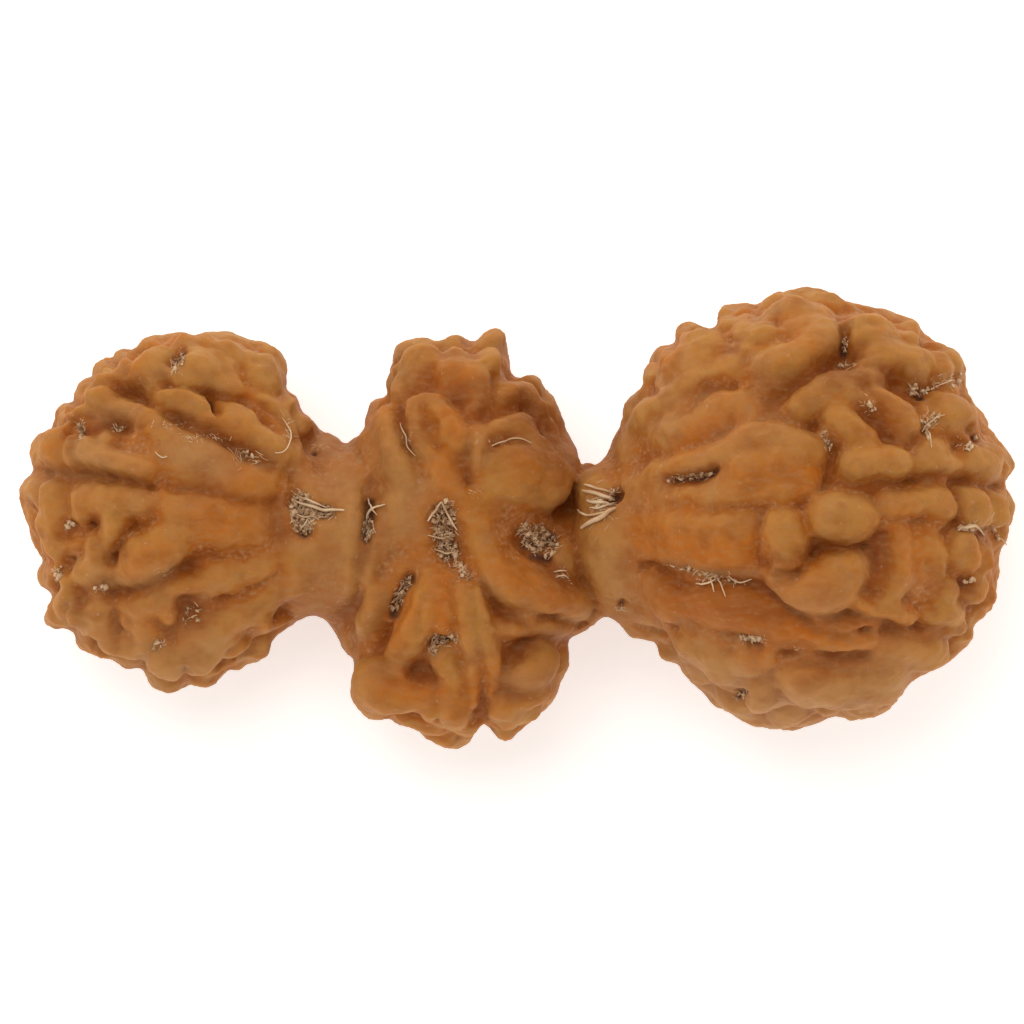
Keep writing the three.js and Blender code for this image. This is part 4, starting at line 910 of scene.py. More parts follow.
# A flank is where the skin faces up or down less than this, away from the widest level.
FLANK_LIMIT = 0.6
FLANK_FADE = 0.25
RIM_CLEARANCE = 0.25
# Each neck by its x and half its width.
NECKS = ((-6.6, 1.3), (3.0, 0.8))

clear = np.ones(len(bare))
clear[near] = np.clip(np.abs(off) - RIM_CLEARANCE, 0, 1)
flank = clear * np.clip((FLANK_LIMIT - np.abs(outward[:, 2])) / FLANK_FADE, 0, 1)
for neck_x, half_wide in NECKS:
    flank = flank * np.clip(np.abs(bare[:, 0] - neck_x) - half_wide, 0, 1)
broken = np.nonzero(flank > 0.02)[0]
for i in broken:
    first, second = noise.voronoi(Vector(wandered[i]) / CELL)[0][:2]
    crease = math.exp(-(((second - first) / CREASE_WIDTH) ** 2))
    relief[i] += flank[i] * (CELL_SWELL * (0.5 - first) - CELL_CREASE * crease)
print("flank points:", len(broken))

# %% Cutting the grooves and pits
# Grooves and pits are seated as if the shell stood this high, and cut with these powers.
CUT_LIFT = 0.2
SOFT_VALLEY = 2
STEEP_PIT = 3
for cuts, power in ((GROOVES, SOFT_VALLEY), (PITS, STEEP_PIT)):
    for width, depth, *plan in cuts:
        cut_groove(relief, wandered, path_on(plan, CUT_LIFT), width, depth, power)
print("relief from", round(relief.min(), 2), "to", round(relief.max(), 2), "mm")

# %% [markdown]
# ## One even skin again
# Moving points stretches the net on the steep sides of the knobs. Subdividing would keep that stretch,
# so a finer voxel remesh gives them as many points as the flats, a little smoothing takes its steps
# away, and a last fine relief adds the dry wrinkles. Then the net is thinned where it is calm.

# %% Remesh and fine relief
SKIN_VOXEL = 0.085
SKIN_SMOOTHING = 3
SKIN_TRIANGLES = 192000
# Height, wrinkles per millimetre, and a shift that keeps the three sizes from lining up.
WRINKLES = ((0.05, 1.5, (1, 4, 2)), (0.045, 3.1, (0, 0, 0)), (0.022, 7.3, (2, 8, 4)))


def wrinkle(p):
    """How much the fine relief lifts or lowers one point."""
    lift = 0.0
    for height, per_mm, shift in WRINKLES:
        lift += height * noise.noise(Vector(p) * per_mm + Vector(shift))
    return lift


move_points(shell, bare + outward * relief[:, None])
finish_modifier(shell, "REMESH", mode="VOXEL", voxel_size=SKIN_VOXEL)
finish_modifier(shell, "SMOOTH", factor=0.5, iterations=SKIN_SMOOTHING)
skin = vectors_of(shell, "co")
fine = np.array([wrinkle(p) for p in skin])
skin = skin + vectors_of(shell, "normal") * fine[:, None]
skin[:, 2] = np.maximum(skin[:, 2], 0)
move_points(shell, skin)
triangles = 2 * len(shell.data.polygons)
finish_modifier(shell, "DECIMATE", ratio=SKIN_TRIANGLES / triangles)
print("skin:", len(shell.data.polygons), "faces")

# %% [markdown]
# ## Where the colour changes
# The stone is amber on the swell of its knobs and tan on their crests, and its valleys are painted
# red-brown as their shade. Noise alone would put the colours anywhere. How far a point stands over its
# smoothed surroundings tells which it is, so that is measured once and kept as an attribute that the
# material reads. Painted shade with some real stains, bright amber, and pale dust with painted light
# are laid on as listed strokes, and kept in the same way.

# %% Measuring crest and hollow
LEVEL_ROUNDS = 122
places = vectors_of(shell, "co")
facing = vectors_of(shell, "normal")
stand = ((places - smoothed_on(shell, places, LEVEL_ROUNDS)) * facing).sum(axis=1)
print("stands out by", np.percentile(stand, [5, 50, 95]).round(3), "mm")


# %% Helpers for colour laid on by strokes
# A pit's floor lies this far under its path, and paint is seated as if the skin stood this high.
PIT_SINK = 0.25
PAINT_LIFT = 0.4


def keep(name, values):
    """Stores one number for each point of the shell."""
    attribute = shell.data.attributes.new(name, "FLOAT", "POINT")
    attribute.data.foreach_set("value", values.astype(np.float32))


def in_pits(pits):
    """How deep each point lies in a pit: 1 on its floor, 0 beyond its width."""
    close = np.zeros(len(places))
    for width, _, *plan in pits:
        path = path_on(plan, CUT_LIFT)
        path[:, 2] -= PIT_SINK
        near, far, _ = near_path(places, path, 2.5 * width + 0.3, SEEN_FROM_ABOVE)
        close[near] = np.maximum(close[near], np.exp(-far / (width + 0.08) ** 2))
    return close


def painted(strokes):
    """Colour laid on by strokes: its strength along each stroke, fading out over the half width."""
    paint = np.zeros(len(places))
    for width, strength, *plan in strokes:
        near, far, _ = near_path(places, path_on(plan, PAINT_LIFT), 2.2 * width + 0.6, SEEN_FROM_ABOVE)
        paint[near] = np.maximum(paint[near], strength * np.exp(-far / (1.2 * width) ** 2))
    return paint


# %% Painted shade and stains, bright amber, and pale dust with painted light
# Half width, strength and plan points of each patch of colour.
# Painted shade, with some real stains: dark red-brown in the grooves, under the knobs and on the flanks
# turned from the light.
SHADE_AND_STAIN_STROKES = [
    (0.35, 0.8, 8.6, 4.85, 9.4, 4.8, 10.2, 4.95, 10.7, 5.25, 11.3, 5.6),
    (0.3, 0.9, 11.45, 6.5, 11.5, 5.7),
    (0.6, 1.0, 11.0, 5.35, 11.6, 5.4, 12.0, 5.2),
    (0.4, 0.7, 12.7, 5.15, 13.4, 5.2, 14.1, 4.95),
    (0.9, 0.5, 5.3, -2.8, 7.0, -3.3, 8.5, -3.7),
    (0.35, 0.9, 15.6, -2.4, 16.0, -2.4),
    (0.3, 0.7, 15.3, 3.1, 15.9, 2.85),
    (0.3, 0.7, 14.4, 1.5, 15.8, 1.5),
    (0.25, 0.6, 15.6, 0.7, 15.6, 0.1),
    (0.25, 0.7, 11.6, 6.15, 12.3, 6.25, 13.1, 6.4),
    (0.3, 0.8, 12.05, 4.35, 12.4, 3.85, 12.85, 3.35, 13.1, 2.9),
    (0.3, 1.0, 12.75, -0.7, 12.8, -1.4, 12.65, -2.1, 12.3, -2.7),
    (0.3, 0.8, 5.0, -1.85, 6.4, -2.2, 8.5, -2.5, 10.0, -3.5, 11.0, -3.75, 12.0, -3.9),
    (0.3, 0.9, 8.85, -1.6, 9.5, -1.75, 10.1, -1.45, 10.6, -1.15, 11.4, -1.05, 12.1, -1.05),
    (0.25, 0.8, 11.9, -3.8, 13.8, -4.1, 15.9, -4.0),
    (0.55, 0.7, 4.9, -2.45, 6.2, -2.75, 7.5, -3.15, 8.8, -3.6),
    (0.45, 0.9, 8.3, -4.35),
    (0.35, 0.8, 7.8, -6.3),
    (0.25, 0.6, 9.2, -4.65, 11.0, -5.2, 12.8, -5.2),
    (0.25, 0.6, 5.0, 1.3, 6.2, 1.4, 7.0, 1.7),
    (0.25, 0.9, -15.6, 3.5),
    (0.35, 0.7, -15.75, 2.8),
    (0.35, 0.9, -12.0, 3.75, -11.3, 3.4, -10.75, 3.25, -10.3, 2.95, -9.6, 2.6),
    (0.3, 0.8, -9.5, 2.75, -8.9, 2.4, -8.2, 2.05),
    (0.3, 1.0, -15.0, 3.35, -14.5, 3.45, -14.0, 3.4),
    (0.22, 0.7, -14.9, 4.4, -14.2, 4.45),
    (0.3, 0.7, -13.4, 5.0, -13.2, 4.8),
    (0.3, 0.7, -15.6, 3.6),
    (0.2, 0.8, -13.0, -4.8, -12.9, -5.6),
    (0.2, 0.8, -11.6, -5.0, -11.6, -5.8),
    (0.25, 0.5, -12.0, 1.05, -10.3, 0.7, -8.6, 0.55),
    (0.3, 0.8, -15.6, -3.1, -15.6, -3.8),
    (0.25, 0.15, -16.9, 1.65, -14.4, 1.35, -12.7, 1.15),
    (0.25, 0.8, -15.5, -2.75, -14.2, -2.7, -12.6, -2.4, -11.3, -1.8),
    (0.45, 0.8, -11.4, -3.1, -11.3, -3.7),
    (0.2, 0.9, -15.0, -0.12),
    (0.3, 0.6, -14.0, -1.4),
    (0.4, 0.7, -8.5, 0.4, -8.3, -0.4),
    (0.35, 0.8, -1.0, 4.8, -1.05, 3.6),
    (0.3, 0.7, -4.0, 3.4, -3.7, 2.6),
    (0.25, 0.8, -1.85, 2.2, -1.75, 1.4),
    (0.3, 0.8, -0.75, 2.8, 0.0, 3.05, 0.75, 2.6, 1.1, 2.2),
    (0.7, 1.0, 0.4, 4.1, 1.0, 3.6, 1.5, 2.7),
    (0.25, 0.9, -1.0, -2.7, -0.5, -3.4, 0.0, -3.6),
    (0.3, 0.8, 0.03, -5.0, 0.3, -4.55, 0.8, -4.25, 1.7, -4.15),
    (0.35, 0.8, -0.6, -5.9, 0.3, -6.25, 1.4, -5.7),
    (0.4, 0.9, 0.9, -1.4, 1.5, -1.8, 2.0, -2.3),
    (0.35, 0.7, -3.6, -5.3, -3.0, -5.6),
    (0.35, 0.8, -5.1, 0.6, -5.2, -1.2),
    (0.3, 0.6, -4.4, -4.9, -4.7, -5.2),
    (0.6, 0.6, -3.9, 5.0, -3.2, 4.9),
    (0.5, 0.6, -2.4, 4.5, -1.8, 4.4),
]
BRIGHT_AMBER = [
    (0.7, 0.9, 4.5, -1.0, 6.0, -1.15, 8.0, -1.15),
    (0.8, 1.0, 5.3, -2.9, 7.0, -3.4, 8.7, -3.8, 10.0, -4.0),
    (0.5, 0.6, -13.6, -1.8, -12.3, -1.1),
    (0.5, 0.7, 12.9, 4.0, 13.2, 3.4),
    (0.6, 0.7, 7.4, 1.5, 9.6, 1.7),
    (0.6, 0.6, 6.0, 2.9, 8.5, 3.9),
    (0.5, 0.8, 9.6, -2.7, 10.7, -2.9),
    (0.55, 0.6, 10.6, -4.4, 12.6, -4.5),
    (0.5, 0.9, 8.4, -4.9),
    (0.6, 0.6, 9.9, -5.6, 11.0, -5.6),
    (0.6, 0.7, -11.0, 0.0, -9.0, -0.3),
    (0.6, 0.6, -10.2, 1.9, -9.0, 1.4),
    (0.5, 0.7, -0.4, -2.0, 0.6, -2.6, 1.8, -2.9),
    (0.5, 1.0, -2.65, -2.2, -2.65, -3.8),
    (0.5, 0.8, 0.2, -2.1, 0.9, -2.7, 1.8, -3.0),
    (0.6, 0.7, -2.9, 5.2, -1.9, 4.9),
    (0.5, 0.8, -3.9, -3.2, -4.6, -4.4),
    (0.6, 0.7, -4.8, -6.1, -3.2, -6.3),
    (0.5, 0.7, -2.6, 1.9, -2.4, 1.1),
    (0.4, 0.6, -2.3, 3.7, -2.2, 3.1),
    (0.5, 0.6, 0.3, 1.8, 1.5, 1.4),
    (0.3, 0.5, -5.1, -2.4, -5.4, -3.4),
]
# Pale dust on the lower edges of the knobs, partly painted light: the rims are lightened where they catch the
# light, and the lower skin where the floor lights it.
DUST_AND_LIT_EDGES = [
    (0.16, 1.0, 9.0, -2.55, 10.0, -3.0, 11.0, -3.3, 11.6, -3.15),
    (0.16, 1.0, -15.2, -2.35, -14.4, -2.4, -13.6, -2.4, -13.0, -2.35, -12.5, -2.1, -12.0, -1.8),
    (0.14, 1.0, -12.6, 3.5, -11.8, 3.1, -11.0, 2.8, -10.2, 2.4, -9.4, 1.95, -8.9, 1.75),
    (0.14, 0.9, 5.0, -1.6, 6.0, -1.9, 7.0, -2.0, 8.2, -2.05),
    (0.14, 1.0, 4.4, -2.9, 5.2, -3.5, 6.0, -4.05, 7.0, -4.35, 7.8, -4.4),
    (0.14, 0.9, -1.1, -2.1, -0.75, -2.5, -0.3, -3.0),
    (1.2, 1.0, 6.5, -5.8, 9.0, -6.9, 11.0, -6.9, 13.0, -6.2),
    (1.0, 0.6, -14.6, -4.2, -12.6, -5.2, -10.4, -4.8),
    (0.8, 0.5, 2.6, 3.0, 4.0, 4.6, 5.0, 6.0),
    (0.6, 0.6, 3.0, -2.2, 3.5, -2.9, 4.3, -3.9),
    (0.14, 0.7, -4.0, 3.0, -3.7, 2.55, -3.3, 2.1),
    (0.16, 0.6, -15.1, -2.0, -14.6, -2.2),
    (0.5, 1.0, 10.0, -3.0, 11.0, -3.25),
    (0.6, 0.9, -11.6, 2.4, -10.2, 1.8),
    (0.3, 0.8, -15.0, 2.2, -13.4, 1.8),
    (0.3, 0.8, -14.8, 3.9, -13.4, 3.9),
    (0.16, 0.6, 12.2, -3.6, 13.8, -3.85),
    (0.15, 0.5, 13.6, -2.8, 14.7, -2.6),
    (1.1, 0.6, -6.4, 2.2, -6.3, 0.8, -6.3, -1.0, -6.5, -2.6),
    (0.7, 0.6, -5.0, 2.6, -4.4, 1.2, -4.4, -1.0),
    (0.4, 0.5, -5.3, -3.0, -5.8, -4.2),
    (0.8, 0.6, 3.0, -1.4, 3.4, -2.4, 3.8, -3.4),
    (0.5, 0.5, 0.6, -3.5, 1.8, -3.8, 2.4, -3.7),
    (0.4, 0.9, -0.2, -5.6, 0.9, -5.8),
    (0.4, 0.6, -16.6, 1.6, -15.0, 1.5),
    (0.5, 0.5, 7.0, 3.0, 8.8, 3.6, 9.3, 3.0),
    (0.5, 0.5, 4.9, 3.2, 5.4, 4.0, 6.6, 4.3),
]

# %% Keeping the measures
# From hollow to crest is this many millimetres, and skin is steep where it faces up less than this.
STAND_RANGE = 0.7
STEEP_LIMIT = 0.55
STEEP_FADE = 0.45
keep("shade_and_stain", painted(SHADE_AND_STAIN_STROKES))
keep("bright", painted(BRIGHT_AMBER))
keep("dust_and_light", painted(DUST_AND_LIT_EDGES))
keep("stand", np.clip(0.5 + stand / STAND_RANGE, 0, 1))
keep("pit", in_pits(PITS))
keep("steep", np.clip((STEEP_LIMIT - facing[:, 2]) / STEEP_FADE, 0, 1))
print("patches of colour:", len(SHADE_AND_STAIN_STROKES) + len(BRIGHT_AMBER) + len(DUST_AND_LIT_EDGES))

# %% [markdown]
# ## Cork crumbs and dried fibre
# The pits hold what is left of the dried flesh: grey-beige flakes like cork, and straw-coloured
# strands that stand out of slots and lie along valleys. Hair particles would be quicker, but nothing
# of them is left in an exported mesh. So one crumb is shaped from a ball and copied, each copy with
# its own size and turn, and the strands are thin round curves with thinner tips, turned into a mesh
# at the end.

# %% One crumb
skin_tree = BVHTree.FromObject(shell, bpy.context.evaluated_depsgraph_get())
rng = random.Random(913)

bpy.ops.object.select_all(action="DESELECT")
bpy.ops.mesh.primitive_ico_sphere_add(subdivisions=2, radius=1, location=(0, 0, 0))
crumb = bpy.context.object
for v in crumb.data.vertices:
    v.co *= 1 + 0.9 * noise.noise(v.co * 1.7 + Vector((3, 1, 7)))
finish_modifier(crumb, "DECIMATE", ratio=0.6)
print("one crumb:", len(crumb.data.polygons), "faces")


def on_skin(x, y, lift):
    """The place at the plan point x, y, lifted above the finished skin."""
    hit, normal = skin_tree.ray_cast(Vector((x, y, ABOVE_ALL)), DOWN)[:2]
    if hit is None:
        return None, None
    return hit + normal * lift, normal


# %% Beds of crumbs
# Centre x, y, half length, half width, turn in degrees, number of crumbs.
CORK_BEDS = [
    (-7.5, 0.15, 0.8, 0.42, 95, 60),
    (-6.8, 0.22, 0.55, 0.2, -12, 16),
    (-5.2, -0.42, 0.42, 0.22, 80, 18),
    (-2.55, -0.1, 0.75, 0.42, 80, 40),
    (-2.4, -1.05, 0.65, 0.36, 110, 30),
    (-1.9, -1.8, 0.45, 0.14, -50, 9),
    (-4.05, -2.65, 0.7, 0.15, 62, 22),
    (-2.85, -4.45, 0.45, 0.16, 75, 14),
    (-2.4, -4.2, 0.4, 0.1, 0, 8),
    (0.75, -0.75, 0.8, 0.5, -35, 46),
    (-11.85, 5.45, 0.42, 0.2, 60, 13),
    (-15.2, 3.05, 0.32, 0.12, 100, 8),
    (-13.9, 3.1, 0.2, 0.12, 20, 4),
    (-11.35, -3.4, 0.4, 0.3, 30, 6),
    (-12.5, -4.4, 0.2, 0.12, 0, 4),
    (3.3, 0.8, 0.25, 0.14, 50, 7),
    (6.1, 1.42, 0.85, 0.13, 10, 16),
    (11.45, 6.1, 0.3, 0.12, 90, 5),
    (10.8, 2.7, 0.35, 0.08, -60, 5),
    (8.2, -4.2, 0.42, 0.12, -5, 10),
    (6.6, -1.95, 1.5, 0.08, -14, 16),
    (11.5, 5.3, 0.25, 0.08, 0, 3),
    (7.9, -6.2, 0.2, 0.1, 40, 4),
    (3.6, -3.15, 0.12, 0.08, 0, 3),
]
# Beds of pale torn flakes, given in the same way.
FLAKE_BEDS = [
    (14.38, 3.4, 0.4, 0.16, 30, 16),
    (14.35, 2.95, 0.3, 0.07, 100, 6),
    (13.85, 4.45, 0.26, 0.12, 60, 9),
    (14.45, 4.5, 0.4, 0.1, 25, 8),
    (15.4, 4.8, 0.3, 0.2, 70, 6),
    (15.85, 2.55, 0.3, 0.12, 60, 6),
    (15.8, -0.32, 0.36, 0.08, 0, 8),
    (16.8, -0.6, 0.3, 0.08, -50, 5),
    (15.85, -2.15, 0.25, 0.07, 10, 5),
    (12.35, 3.85, 0.25, 0.1, -60, 5),
    (-15.6, -0.22, 0.2, 0.1, 10, 7),
    (-16.0, -1.95, 0.32, 0.13, 75, 12),
    (-14.55, -2.45, 0.24, 0.07, 10, 6),
    (-12.5, -4.4, 0.18, 0.1, 0, 4),
    (8.2, -4.2, 0.36, 0.08, -5, 8),
    (3.0, 0.55, 0.4, 0.1, 30, 8),
    (-9.3, 2.15, 0.5, 0.08, -40, 6),
]
CRUMB_SIZES = (0.04, 0.1)
FLAKE_SIZES = (0.06, 0.13)
# Shares of that size along x, y and z, the most that a crumb is turned about each, and how much
# bigger it is in a wide bed.
CRUMB_SHAPE = ((0.8, 1.5), (0.5, 0.9), (0.3, 0.7))
CRUMB_TURN = (2, 2, 6)
WIDE_BED = 0.3
WIDE_BED_GROWTH = 1.3


def scattered(beds, tries, sizes):
    """Crumbs strewn over the beds. Of so many tries one is a crumb, and the others are only places."""
    crumbs, between_them = [], []
    for x, y, half_long, half_wide, turn, count in beds:
        c, s = math.cos(math.radians(turn)), math.sin(math.radians(turn))
        for k in range(tries * count):
            far = math.sqrt(rng.random())
            way = rng.random() * 2 * math.pi
            u = far * math.cos(way) * half_long
            v = far * math.sin(way) * half_wide
            place, normal = on_skin(x + u * c - v * s, y + u * s + v * c, 0.04 * rng.random())
            if place is None:
                continue
            if k % tries:
                between_them.append((place, normal))
                continue
            piece = crumb.copy()
            piece.data = crumb.data.copy()
            bpy.context.collection.objects.link(piece)
            size = rng.uniform(*sizes) * (WIDE_BED_GROWTH if half_wide > WIDE_BED else 1)
            piece.scale = [size * rng.uniform(*share) for share in CRUMB_SHAPE]
            piece.rotation_euler = [rng.random() * most for most in CRUMB_TURN]
            piece.location = place
            crumbs.append(piece)
    return crumbs, between_them


crumbs, felt = scattered(CORK_BEDS, 4, CRUMB_SIZES)
flakes, _ = scattered(FLAKE_BEDS, 1, FLAKE_SIZES)
bpy.data.objects.remove(crumb)
cork = joined(crumbs, "cork_crumbs")
flakes = joined(flakes, "flakes")
print("crumbs:", len(crumbs), "faces", len(cork.data.polygons), "flake faces", len(flakes.data.polygons))

# %% Strands and fluff read one by one
# Thickness, then the plan points of each strand.
STRANDS = [
    (0.06, -7.75, 0.6, -7.07, 0.46, -6.46, 0.3, -6.0, 0.24),
    (0.035, -7.6, 0.8, -7.1, 0.62, -6.6, 0.36),
    (0.035, -7.8, 0.2, -7.5, 0.0, -7.2, 0.1, -6.9, -0.1),
    (0.035, -7.6, -0.4, -7.3, -0.1, -7.1, 0.3),
    (0.05, -5.27, -0.05, -4.97, 0.28, -4.55, 0.5),
    (0.035, -5.2, 0.7, -5.0, 0.4, -4.85, 0.1),
    (0.05, -3.15, -0.1, -2.9, 0.37, -2.6, 0.62),
    (0.045, -2.6, 0.62, -2.3, 0.15, -2.05, -0.4),
    (0.035, -3.1, -0.6, -2.7, -0.7, -2.3, -0.6),
    (0.035, -2.9, -1.1, -2.5, -1.3, -2.1, -1.2),
    (0.07, 2.35, 0.95, 2.75, 0.85, 3.1, 0.65, 3.4, 0.6),
    (0.05, 2.2, 0.3, 2.45, 0.1, 2.93, 0.1, 3.46, 0.33),
    (0.09, 2.35, -0.35, 2.8, -0.15, 3.3, 0.15, 3.5, 0.3),
    (0.06, 2.5, 0.62, 2.9, 0.5, 3.3, 0.4),
    (0.05, 2.4, 1.15, 2.8, 1.0, 3.3, 0.9),
    (0.04, 2.6, 0.35, 3.0, 0.3, 3.5, 0.5),
    (0.03, -8.2, 3.5, -8.0, 3.1, -8.0, 2.7, -8.15, 2.35, -8.45, 2.3),
    (0.04, 6.3, -2.3, 6.6, -2.2, 6.95, -2.1),
    (0.03, 7.0, -2.05, 7.15, -2.4, 7.3, -2.75),
    (0.03, 6.75, -2.05, 6.85, -2.35, 6.9, -2.6),
    (0.03, 7.4, -2.0, 7.8, -2.15, 8.2, -2.1),
    (0.06, 15.4, -0.5, 15.65, -0.25, 16.0, -0.22, 16.3, -0.55),
    (0.035, 14.1, 3.0, 14.4, 3.4, 14.95, 3.6),
    (0.035, 14.3, 3.2, 14.4, 2.8, 14.45, 2.45),
    (0.03, 14.7, 4.6, 15.0, 4.8, 15.3, 4.75),
    (0.03, 13.7, 4.7, 13.9, 4.4, 14.1, 4.2),
    (0.03, 1.3, -1.9, 1.5, -1.8, 1.75, -1.85),
    (0.03, 1.35, -2.1, 1.6, -2.05, 1.8, -2.15),
    (0.03, -0.9, 2.5, -0.4, 2.7, 0.1, 2.75, 0.5, 2.6),
    (0.03, -4.1, 3.3, -3.9, 2.7, -3.5, 2.2),
    (0.03, 16.9, -0.7, 17.1, -0.85, 17.2, -1.1),
    (0.03, -12.6, 2.3, -12.4, 2.1, -12.2, 2.15),
]
# Middle x, y, spread along x and y, and a number and length that set how thick the fluff lies.
FLUFF = [
    (-7.3, 0.1, 0.5, 0.45, 26, 0.5),
    (-5.2, -0.35, 0.15, 0.4, 8, 0.35),
    (-2.5, -0.5, 0.35, 0.8, 26, 0.4),
    (-4.05, -2.65, 0.2, 0.4, 10, 0.35),
    (-2.6, -4.3, 0.4, 0.25, 14, 0.35),
    (0.7, -0.7, 0.5, 0.35, 18, 0.4),
    (2.9, 0.3, 0.35, 0.6, 22, 0.6),
    (-9.4, 2.1, 0.45, 0.3, 16, 0.5),
    (-10.9, 2.85, 0.8, 0.12, 22, 0.3),
    (-12.0, 3.25, 0.6, 0.1, 12, 0.25),
    (-8.1, 3.0, 0.15, 0.5, 6, 0.5),
    (-11.85, 5.4, 0.2, 0.3, 9, 0.3),
    (-15.2, 3.1, 0.12, 0.25, 6, 0.3),
    (-13.8, 3.1, 0.3, 0.15, 5, 0.25),
    (-16.0, -1.9, 0.15, 0.3, 8, 0.35),
    (-15.6, -0.2, 0.15, 0.1, 5, 0.25),
    (-14.5, -2.45, 0.3, 0.08, 6, 0.3),
    (-12.3, -1.9, 0.4, 0.15, 6, 0.25),
    (-7.0, 2.5, 0.3, 0.15, 8, 0.25),
    (14.4, 3.3, 0.35, 0.25, 20, 0.4),
    (13.95, 4.45, 0.2, 0.2, 9, 0.4),
    (14.9, 4.8, 0.4, 0.2, 16, 0.4),
    (12.4, 3.9, 0.2, 0.25, 8, 0.25),
    (6.0, 1.4, 0.6, 0.12, 12, 0.3),
    (6.9, -2.1, 0.7, 0.12, 16, 0.3),
    (8.2, -4.2, 0.4, 0.1, 9, 0.3),
    (15.8, -0.3, 0.4, 0.12, 10, 0.3),
    (16.6, -0.2, 0.3, 0.3, 5, 0.4),
    (15.7, 2.6, 0.3, 0.2, 9, 0.3),
    (10.8, 2.6, 0.2, 0.4, 8, 0.2),
    (-0.4, 2.6, 0.5, 0.1, 8, 0.25),
    (-3.8, 2.7, 0.2, 0.4, 6, 0.25),
    (-1.7, -2.0, 0.2, 0.2, 5, 0.3),
    (-1.4, 0.9, 0.2, 0.2, 5, 0.25),
    (1.6, -2.0, 0.2, 0.2, 5, 0.3),
    (9.8, -4.6, 0.3, 0.1, 5, 0.25),
]
print("strands:", len(STRANDS), "beds of fluff:", len(FLUFF))


# %% Helpers for strands
def strand(curve, places, thick):
    """Adds one open spline with thin tips to the curve."""
    spline = curve.splines.new("NURBS")
    spline.points.add(len(places) - 1)
    for i, place in enumerate(places):
        t = i / (len(places) - 1)
        spline.points[i].co = (*place, 1)
        spline.points[i].radius = thick * (0.35 + 0.65 * math.sin(math.pi * min(0.12 + 0.8 * t, 1)))
    spline.use_endpoint_u = True
    spline.order_u = 3


def new_curve():
    """An empty round curve that strands are added to."""
    bpy.ops.object.select_all(action="DESELECT")
    bpy.ops.curve.primitive_nurbs_path_add(radius=1, location=(0, 0, 0))
    curve = bpy.context.object.data
    curve.splines.clear()
    curve.dimensions = "3D"
    curve.bevel_depth = 1.0
    curve.bevel_resolution = 0
    curve.resolution_u = 2
    curve.use_fill_caps = True
    return bpy.context.object


def loose(curve, place, normal, long, rise, thick):
    """One short curled strand that leaves the skin at a place."""
    way = Vector((rng.gauss(0, 1), rng.gauss(0, 1), 0.01))
    way = (way - way.dot(normal) * normal).normalized()
    curl = normal.cross(way) * rng.uniform(-0.6, 0.6)
    length = long * rng.uniform(0.5, 1.3)
    up = rise * rng.uniform(0.2, 1.0)
    places = [
        place + way * length * t + normal * length * up * t * (1.3 - t) + curl * length * t * t
        for t in (0, 0.3, 0.65, 1)
    ]
    strand(curve, places, thick * rng.uniform(0.6, 1.4))


def as_mesh(curve):
    """Turns a finished curve object into a mesh object."""
    only(curve)
    bpy.ops.object.convert(target="MESH")
    return bpy.context.object


# %% Matted fibre between the crumbs
# Every loose fibre starts this far inside the skin.
ROOT_DEPTH = 0.02
MATTED_LENGTH = 0.2
MATTED_RISE = 0.4
MATTED_THICK = 0.022
matted = new_curve()
for place, normal in felt:
    loose(matted.data, place - normal * ROOT_DEPTH, normal, MATTED_LENGTH, MATTED_RISE, MATTED_THICK)
cork = joined([cork, as_mesh(matted)], "cork_crumbs")
print("cork:", len(cork.data.polygons), "faces")

# %% Strands and fluff
# A strand arches this high over the skin. Fluff is this many times the number read and shorter.
ARCH = 0.1
FLUFF_TIMES = 3
FLUFF_SHORTER = 0.62
FLUFF_RISE = 0.5
FLUFF_THICK = 0.011
fluff = new_curve()
curve = fluff.data
for thick, *plan in STRANDS:
    path = curve_through(plan, STEPS)
    places = []
    for i, (x, y) in enumerate(path):
        t = i / (len(path) - 1)
        place, _ = on_skin(x, y, thick + ARCH * math.sin(math.pi * t) + 0.02 * rng.random())
        if place is not None:
            places.append(place)
    if len(places) > 2:
        strand(curve, places, thick)
for x, y, wide, deep, count, long in FLUFF:
    for _ in range(FLUFF_TIMES * count):
        place, normal = on_skin(x + rng.gauss(0, 0.5) * wide, y + rng.gauss(0, 0.5) * deep, -ROOT_DEPTH)
        if place is not None:
            loose(curve, place, normal, long * FLUFF_SHORTER, FLUFF_RISE, FLUFF_THICK)
fluff = joined([as_mesh(fluff), flakes], "dried_strands")
print("strands:", len(fluff.data.polygons), "faces")

# %% Bringing the pieces down to metres
MM = 0.001
for piece in (shell, cork, fluff):
    only(piece)
    piece.scale = (MM, MM, MM)
    bpy.ops.object.transform_apply(location=True, rotation=True, scale=True)
    bpy.ops.object.shade_smooth()
    print(piece.name, [round(side, 5) for side in piece.dimensions])

# %% [markdown]
# ## The waxy finish
# The real skin is waxed by handling: amber and a little translucent on the swell of a knob, tan on the
# crests, with pale fuzz left on the sides of the valleys. The valleys are painted red-brown and the pit
# floors dark brown, as their shade. It could be painted point by point, but then it would stop at the
# size of the net. So the colours are laid over each other by the kept measures, and fine noise breaks
# up all of them.

# %% Helpers for materials
def new_material(name):
    """A new material with its nodes and links."""
    material = bpy.data.materials.new(name)
    material.use_nodes = True
    return material, material.node_tree.nodes, material.node_tree.links


def set_values(node, values):
    """Sets a node's own sockets by name."""
    for name, value in values.items():
        node.inputs[name].default_value = value


def measured(tree, name):
    """One of the measures that were kept on the shell."""
    node = tree.nodes.new("ShaderNodeAttribute")
    node.attribute_name = name
    return node.outputs["Fac"]


